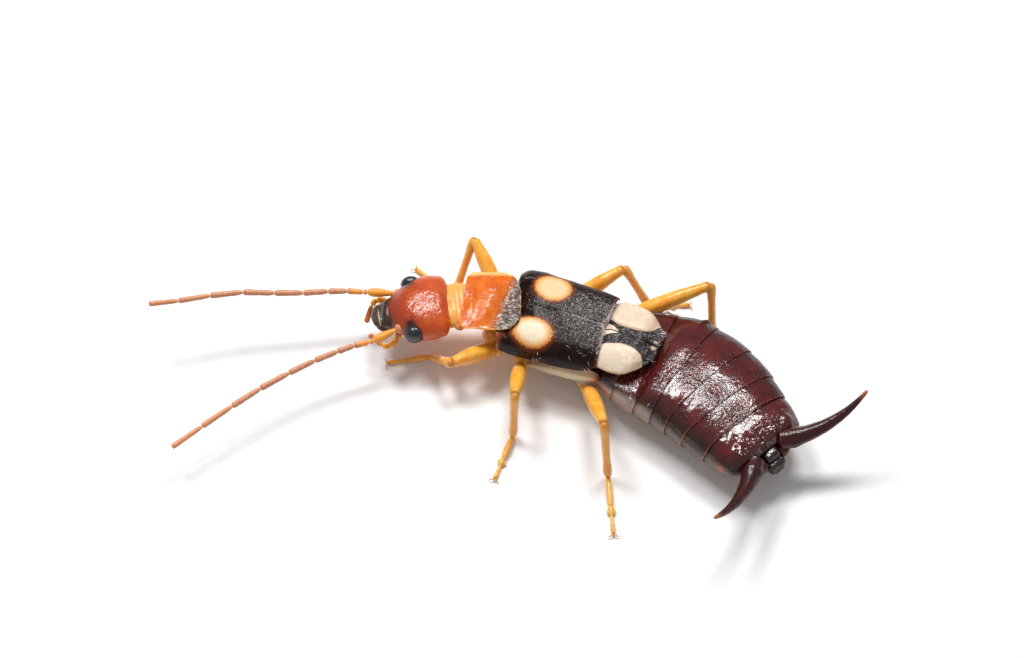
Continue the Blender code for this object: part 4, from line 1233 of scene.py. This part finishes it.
def make_last_plate(look):
    """The broad last plate, with swellings over the forceps and many small bumps between them."""
    random = np.random.default_rng(71)
    start = PLATE_ENDS[-1] - 0.16
    end = ABDOMEN_END + 0.18
    distance, angle = np.meshgrid(np.linspace(start, end, 110), even_angles(-30, 210, 330), indexing="ij")
    share = (distance - PLATE_ENDS[-1]) / (end - PLATE_ENDS[-1])
    height = np.sin(angle)
    lateral = smooth(0.3, -0.3, height)
    distance = distance - 0.30 * lateral * smooth(0.4, 1.0, share)
    distance = distance - 0.06 * smooth(0.5, 0.9, height) * smooth(0.5, 1.0, share)
    shrink = 0.07 * (1 - smooth(-0.1, 0.3, share)) + 0.20 * smooth(0.80, 1.0, share) ** 2
    grid = abdomen_points(distance, angle, shrink)
    normal = facing(grid)
    out = np.cos(angle) * along(ABDOMEN, distance)[..., 0]
    push = 0.014 * lumps(grid, 0.4, 72) + 0.005 * lumps(grid, 0.09, 73)
    for behind, aside, rise, size in ((6.28, 0.94, 0.12, 0.26), (6.34, 0.32, 0.08, 0.15), (6.06, 0.55, 0.06, 0.13)):
        for sign in (-1, 1):
            push = push + rise * bell(np.hypot(distance - behind, out - sign * aside), size)
    push = push - 0.05 * bell(out, 0.06) * smooth(5.8, 6.3, distance)
    for _ in range(130):
        middle = random.uniform(5.85, 6.54), random.normal(0.0, 0.50)
        size = random.uniform(0.028, 0.055)
        push = push + size * 0.55 * bell(np.hypot(distance - middle[0], out - middle[1]), size)
    push = np.where(height > -0.1, push, 0.018 * lumps(grid, 0.4, 72))
    grid = grid + normal * push[..., None]
    side = smooth(0.35, 0.0, height)
    rim = smooth(0.93, 0.98, share) * side + smooth(-0.30, -0.38, height)
    crescent = bell(distance - 6.02 - 0.2 * height, 0.16) * bell(height - 0.10, 0.16)
    last = Piece("last_plate_shell")
    last.plate(
        grid,
        0.07,
        crown=0.3 * smooth(0.5, 0.8, height) * bell(out, 0.9),
        shade=0.8 * smooth(0.75, 0.25, height) + 0.4 * smooth(0.3, 0.8, share),
        flank=0.25 * side,
        rim=np.clip(rim + 0.8 * crescent, 0, 1),
        front=smooth(0.1, 0.0, share) * 0.4,
    )
    # The end wall below the plate, from which the forceps grow.
    around = even_angles(0, 360, 160)[:-1]
    reach, around = np.meshgrid(np.linspace(0, 1, 20), around, indexing="ij")
    wall = abdomen_points(ABDOMEN_END - 0.42 + 0.42 * np.sin(reach * math.pi / 2), around, 0.12 + 0.55 * reach**2)
    last.sleeve(roughen(wall, 0.03, 0.2, 74), front=0.9, shade=0.6)
    last.finish(look, "abdomen_shell", "last_plate")
    # The last plate of the belly, whose thin pale rim shows below the forceps.
    distance, angle = np.meshgrid(np.linspace(5.25, 6.90, 56), even_angles(200, 340, 130), indexing="ij")
    share = (distance - 5.25) / 1.65
    distance = distance - 0.55 * np.abs(np.cos(angle)) ** 3 * smooth(0.4, 1.0, share)
    grid = abdomen_points(np.minimum(distance, ABDOMEN_END), angle, 0.10 + 0.10 * smooth(0.7, 1.0, share))
    _, _, forward = spine(ABDOMEN_END)
    grid = grid + forward * np.maximum(distance - ABDOMEN_END, 0)[..., None]
    last_belly = Piece("last_belly_plate")
    last_belly.plate(roughen(grid, 0.02, 0.3, 75, False), 0.05,flank=0.5, rim=smooth(0.955, 0.985, share), tan=0.25)
    last_belly.finish(look, "abdomen_shell")


def make_end_plate(look):
    """The small blocky plate between the roots of the forceps, with a raised square on each level."""
    plate = Piece("end_plate_block")
    # For each level: distance behind, half width, rise and fall, and height of the middle.
    upper = (
        (-0.10, 0.27, 0.14, 0.30, 1.46),
        (0.06, 0.27, 0.15, 0.34, 1.44),
        (0.13, 0.23, 0.12, 0.34, 1.42),
        (0.16, 0.18, 0.07, 0.30, 1.40),
    )
    lower = (
        (0.02, 0.32, 0.14, 0.36, 1.20),
        (0.26, 0.31, 0.14, 0.36, 1.18),
        (0.34, 0.27, 0.11, 0.32, 1.16),
        (0.38, 0.20, 0.06, 0.26, 1.14),
    )
    for levels in (upper, lower):
        size = along(np.column_stack((np.linspace(0, 1, len(levels)), levels)), np.linspace(0, 1, 32))
        wide, high = round_power(circle(72), 4.5)
        x = wide[None] * size[:, 1, None]
        z = size[:, 4, None] + high[None] * np.where(high[None] > 0, size[:, 2, None], size[:, 3, None])
        grid = np.stack((x, size[:, 0, None] + 0 * x, z), -1)
        grid = roughen(grid, 0.012, 0.12, 81)
        grid[..., 1] -= 0.06
        plate.sleeve(from_tail(grid), shade=1.0, flank=0.05, front=0.3)
    plate.finish(look, "abdomen_shell", "end_plate")


def make_forceps(side, look):
    """One arm: a tapering blade with a soft ridge on top, and blunt inner teeth at its root."""
    share = np.linspace(-0.15, 1, 150)
    path = ARM_BEND * (2 * share * (1 - share))[:, None] + ARM_TIP * (share**2)[:, None]
    path = np.stack((side * (ARM_FROM_MIDDLE + path[:, 0]), path[:, 1], ARM_HEIGHT + path[:, 2]), -1)
    reach = np.clip(share, 0, 1)
    half = 0.33 * (1 - reach**0.9) + 0.055 * reach**0.9
    point = np.where(share > 0.97, np.sqrt(np.clip((1.0 - share) / 0.03, 0.03, 1)), 1)
    half = half * (1 + 0.10 * bell(share, 0.06)) * point
    world = from_tail(path)
    tangent = unit(np.gradient(world, axis=0))
    across = unit(np.cross(tangent, UP))
    lift = np.cross(across, tangent)
    angle = circle(52)
    ridge = 1 + 0.06 * bell(np.abs(np.sin(angle)) - 1, 0.08) - 0.03 * bell(np.abs(np.sin(angle)) - 0.6, 0.15)
    rings = world[:, None] + across[:, None] * (half[:, None] * (np.cos(angle) * ridge)[None])[..., None] * 1.02
    rings = rings + lift[:, None] * (half[:, None] * (np.sin(angle) * ridge)[None])[..., None] * 0.86
    name = "forceps_" + SIDE_NAMES[side]
    arm = Piece(name + "_arm")
    edges = bell(np.abs(np.cos(angle)) - 1, 0.03)[None] * smooth(0.08, 0.3, share)[:, None] * 0.7
    arm.sleeve(roughen(rings, 0.006, 0.15, 91), ridge=edges, tip=smooth(0.84, 0.99, share)[:, None])
    # How far behind, aside and up each tooth is, and its half thickness.
    for behind, aside, height, size in ((-0.06, 0.55, 1.56, 0.17), (0.02, 0.48, 1.30, 0.19), (-0.08, 0.62, 1.12, 0.19)):
        start = from_tail((side * (aside + 0.12), behind - 0.26, height))
        end = from_tail((side * (aside - 0.10), behind + 0.14, height - 0.02))
        tooth, _ = joint(start, end, ((0, size), (0.5, size * 1.05), (1, size * 0.8)), 22, 26, power=3.0)
        arm.sleeve(roughen(tooth, 0.012, 0.1, 92), tooth=0.8)
    arm.finish(look, "forceps", name)


# ---------------------------------------------------------------- legs


def make_leg(name, look):
    """Coxa, trochanter, a keeled thigh, a shin, three foot joints and two thin claws."""
    root, hip, knee = (np.array(place, float) for place in LEGS[name][:3])
    # The real foot is thinner than the solid one: it lies lower, on the same line of sight.
    lower = np.array((-0.049, -0.018))
    ankle = np.array((*(np.array(LEGS[name][3]) + lower), 0.17))
    toe = np.array((*(np.array(LEGS[name][4]) + lower), 0.085))
    leg = Piece(name + "_joints")
    grids = []

    def part(start, end, stations, marks, rows=40, sides=26, flat=1.0, bow=0.0, power=2.0):
        rings, share = joint(start, end, stations, rows, sides, flat, bow, power)
        rings = roughen(rings, 0.006, 0.12, 101)
        leg.sleeve(rings, **{mark: value(share)[:, None] for mark, value in marks.items()})
        grids.append((rings, unit(np.asarray(end) - np.asarray(start))))

    inward = unit(hip - root)
    coxa = ((0, 0.30), (0.5, 0.31), (0.85, 0.25), (1, 0.19))
    part(root - inward * 0.2, hip + inward * 0.02, coxa, {"brown": lambda s: 0.4 * smooth(0.8, 0.95, s)})
    toward = unit(knee - hip)
    collar = ((0, 0.17), (0.4, 0.22), (0.8, 0.20), (1, 0.15))
    part(hip - toward * 0.12, hip + toward * 0.22, collar, {"brown": lambda s: 0.35 * smooth(0.7, 0.9, s)}, 20)
    thigh = ((0, 0.17), (0.12, 0.24), (0.35, 0.275), (0.65, 0.25), (0.88, 0.185), (0.96, 0.175), (1, 0.14))
    part(hip + toward * 0.10, knee, thigh, {"brown": lambda s: 0.5 * smooth(0.93, 0.99, s)}, 64, 34, 0.92, 0.08, 2.3)
    down = unit(ankle - knee)
    shin = ((0, 0.11), (0.06, 0.155), (0.3, 0.145), (0.7, 0.14), (0.93, 0.15), (1, 0.11))
    marks = {
        "brown": lambda s: 0.45 * smooth(0.08, 0.0, s) + 0.12 * smooth(0.93, 1, s),
        "pink": lambda s: 0.15 + 0.2 * s,
    }
    part(knee - down * 0.06, ankle + down * 0.02, shin, marks, 56, 26, 0.92)
    first, second = ankle + (toe - ankle) * 0.50, ankle + (toe - ankle) * 0.68
    ahead = unit(toe - ankle)
    aside = unit(np.cross(ahead, UP))
    pale = {"pale": lambda s: 0.15 + 0 * s}
    part(ankle - ahead * 0.02, first + ahead * 0.04, ((0, 0.075), (0.2, 0.088), (0.75, 0.10), (1, 0.075)), pale, 36, 22)
    part(first - ahead * 0.02, second + ahead * 0.02, ((0, 0.06), (0.4, 0.085), (0.8, 0.08), (1, 0.05)), pale, 22, 22)
    lobe, share = joint(first + ahead * 0.03, second + ahead * 0.03, ((0, 0.045), (0.5, 0.055), (1, 0.03)), 26, 26)
    spread = np.sin(np.clip(share * 1.02, 0, 1) * math.pi)[:, None] * 0.10
    width = ((lobe - (first + second) / 2) @ aside) / 0.055
    lobe = lobe + aside * (width * spread)[..., None]
    lobe[..., 2] -= 0.015
    leg.sleeve(lobe, pale=0.6)
    marks = {"pale": lambda s: 0.2 * (1 - s), "red": lambda s: 0.6 * smooth(0.75, 0.95, s)}
    part(second - ahead * 0.03, toe, ((0, 0.045), (0.3, 0.058), (0.8, 0.07), (1, 0.05)), marks, 32, 20)
    shares = np.linspace(0, 1, 24)
    for sign in (-1, 1):
        reach = unit(ahead * 0.38 + aside * sign * 0.92)
        arch, drop = UP * 0.030, UP * 0.055
        claw = (toe - ahead * 0.03, toe + reach * 0.07 + arch, toe + reach * 0.15, toe + reach * 0.21 - drop)
        rings = sweep(bend(claw, 24), 0.023 * (1 - shares) + 0.005, 10)
        leg.sleeve(rings, dark=0.8 * smooth(0.2, 0.7, shares)[:, None])
    leg.finish(look, "leg", name)
    return grids


# ---------------------------------------------------------------- bristles


def strew(
    coat, grid, count, seed, patch, heading, spread, lengths, radii, lift,
    chance=1.0, steps=3, out=0.0, low=None, flat=False,
):
    """Bristles sown over one grid, whose patch is its number on the coat's unwrap and how many share that.

    They lean along a heading, with a share of the normal and a spread. With a low height, the grid is a limb's, which
    closes round on itself, and no bristle starts below that height.
    """
    places, normals, shares, random = sow(grid, count, seed, chance, low is not None)
    if low is not None:
        keep = places[:, 2] > low
        places, normals, shares = places[keep], normals[keep], shares[keep]
    count = len(places)
    lean = unit(heading + normals * out + random.normal(0, spread, (count, 3)))
    if flat:
        lean = unit(lean - normals * (lean * normals).sum(-1, keepdims=True))
    length = random.uniform(*lengths, count)
    radius = random.uniform(*radii, count) if isinstance(radii, tuple) else radii
    coat.grow(places, normals, lean, length, radius, patch_of(shares, *patch), lift, steps)


def make_bristles(look, shield, cases, tips, plates, feelers, legs):
    cells = 5
    coat = Piece("shield_and_case_bristles")
    grid, chance = shield
    strew(coat, grid, 90, 201, (0, cells), BACKWARDS, 0.45, (0.10, 0.30), 0.008, 0.5, chance, 4)
    for index, (grid, spot) in enumerate(cases):
        out = np.abs(grid[..., 0] + 0.10)
        rear = smooth(0.95, 1.7, grid[..., 1]) * smooth(1.15, 0.6, out)
        ahead = smooth(-0.2, 0.2, grid[..., 1]) * smooth(0.75, 0.3, out) * (1 - spot)
        chance = rear + (0.03 + 0.25 * ahead) * smooth(1.3, 0.9, out) * (1 - spot)
        patch, radii = (1 + index, cells), (0.005, 0.010)
        strew(coat, grid, 2100, 202 + index, patch, BACKWARDS, 0.75, (0.07, 0.17), radii, 0.20, chance, flat=True)
        strew(coat, grid, 26, 212 + index, patch, BACKWARDS, 0.5, (0.14, 0.30), 0.009, 0.55, 1 - spot, 4)
    for index, (grid, black) in enumerate(tips):
        patch, radii = (3 + index, cells), (0.004, 0.007)
        chance = black * smooth(2.9, 3.1, grid[..., 1]) + 1e-4
        strew(coat, grid, 220, 222 + index, patch, BACKWARDS, 0.6, (0.05, 0.13), radii, 0.28, chance)
        chance = smooth(4.45, 4.60, grid[..., 1]) * smooth(0.4, 0.6, np.abs(grid[..., 0] - WING_TIP_SHIFT)) + 1e-6
        strew(coat, grid, (7, 3)[index], 228 + index, patch, BACKWARDS, 0.3, (0.15, 0.28), 0.010, 0.4, chance, 4)
    coat.finish(look, "wing_case")

    coat = Piece("abdomen_bristles")
    for index, (grid, crown) in enumerate(plates):
        share = np.linspace(0, 1, grid.shape[0])[:, None]
        chance = (bell(share - 0.9, 0.08) + 0.25) * (0.03 + crown)
        heading, patch = BACKWARDS + np.array((0.06 * index, 0, 0)), (index, len(plates))
        strew(coat, grid, 800, 232 + index, patch, heading, 0.45, (0.04, 0.10), (0.003, 0.006), 0.3, chance)
    coat.finish(look, "abdomen_shell")

    # For each kind of limb: its grids, how many bristles each has, the first seed, and the bristles' own figures.
    for slot, limbs, counts, seed, out, spread, lengths, radius, lift in (
        ("feeler", feelers, (150,) * len(FEELER_JOINTS_LEFT), 242, 0.3, 0.25, (0.03, 0.06), 0.003, 0.35),
        ("leg", legs, (8, 6, 60, 90, 70, 20, 30), 262, 0.5, 0.3, (0.04, 0.11), 0.004, 0.4),
    ):
        coat = Piece(slot + "_bristles")
        parts = [(*skin, count) for grids in limbs for skin, count in zip(grids, counts)]
        for cell, (grid, heading, count) in enumerate(parts):
            patch = (cell, len(parts))
            strew(coat, grid, count, seed + cell, patch, heading, spread, lengths, radius, lift, out=out, low=0.06)
        coat.finish(look, slot)


# ---------------------------------------------------------------- scene


def add_camera():
    data = bpy.data.cameras.new("camera")
    data.sensor_width = 36
    data.lens = CAMERA_LENS
    data.clip_start = 0.001
    data.clip_end = 5
    camera = bpy.data.objects.new("camera", data)
    back = Vector((
        math.sin(CAMERA_AZIMUTH) * math.cos(CAMERA_ELEVATION),
        -math.cos(CAMERA_AZIMUTH) * math.cos(CAMERA_ELEVATION),
        math.sin(CAMERA_ELEVATION),
    ))
    right = Vector((math.cos(CAMERA_AZIMUTH), math.sin(CAMERA_AZIMUTH), 0))
    above = back.cross(right)
    place = Vector((CAMERA - BOX_MIDDLE) * MM)
    camera.matrix_world = Matrix.Translation(place) @ Matrix((right, above, back)).transposed().to_4x4()
    bpy.context.scene.collection.objects.link(camera)
    bpy.context.scene.camera = camera


def add_softbox(name, direction):
    """A lamp that looks at the insect from a direction."""
    data = bpy.data.lights.new(name, "AREA")
    data.shape = "RECTANGLE"
    data.size, data.size_y = LAMP_SIZE
    data.energy = LAMP_POWER
    data.color = (1.0, 0.99, 0.98)
    lamp = bpy.data.objects.new(name, data)
    back = Vector(direction).normalized() * LAMP_DISTANCE
    lamp.location = LAMP_TARGET + back
    lamp.rotation_euler = back.to_track_quat("Z", "Y").to_euler()
    bpy.context.scene.collection.objects.link(lamp)


def add_studio():
    points = np.array(((-1, -1, 0), (1, -1, 0), (1, 1, 0), (-1, 1, 0))) * FLOOR_HALF_SIZE
    mesh = bpy.data.meshes.new("floor")
    mesh.from_pydata(points.tolist(), [], [(0, 1, 2, 3)])
    mesh.materials.append(floor_look())
    floor = bpy.data.objects.new("floor", mesh)
    bpy.context.scene.collection.objects.link(floor)
    floor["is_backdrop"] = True
    world = bpy.data.worlds.new("studio")
    world.use_nodes = True
    sky = world.node_tree.nodes["Background"]
    sky.inputs["Color"].default_value = (0.96, 0.98, 1.0, 1.0)
    sky.inputs["Strength"].default_value = SKY_STRENGTH
    bpy.context.scene.world = world
    add_softbox("front_softbox", (-0.22, -0.46, 0.90))
    add_softbox("rear_softbox", (-0.42, -0.04, 0.90))
    bpy.context.scene.view_settings.view_transform = "Standard"


def main():
    plain = {name: plain_look(name) for name in PLAIN_LOOKS}
    amber, feeler, flesh = plain["leg_amber"], plain["feeler"], plain["flesh"]
    make_head(plain["head_shell"], plain["mouth"])
    make_palps(amber)
    for side in SIDE_NAMES:
        make_eye(side, plain["eye"])
    feelers = [
        make_feeler("antenna_left", 1, FEELER_JOINTS_LEFT, FEELER_TURNS_LEFT, FEELER_SLOPE_LEFT, feeler),
        make_feeler("antenna_right", -1, FEELER_JOINTS_RIGHT, FEELER_TURNS_RIGHT, FEELER_SLOPE_RIGHT, feeler),
    ]
    make_skin(flesh)
    make_side_plates(flesh)
    shield = make_shield(shield_look())
    case, fold = case_look(), wing_tip_look()
    cases = [make_wing_case(side, case) for side in SIDE_NAMES]
    tips = [make_wing_tip(side, fold) for side in SIDE_NAMES]
    plate = abdomen_look()
    plates = make_abdomen(plate)
    make_last_plate(plate)
    make_end_plate(plate)
    for side in SIDE_NAMES:
        make_forceps(side, plain["forceps"])
    legs = [make_leg(name, amber) for name in LEGS]
    make_bristles(bristle_look(), shield, cases, tips, plates, feelers, legs)
    add_studio()
    add_camera()
    total = 0
    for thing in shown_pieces():
        thing.data.calc_loop_triangles()
        total += len(thing.data.loop_triangles)
        print("piece", thing.name, len(thing.data.loop_triangles))
    print("triangles", total)


main()
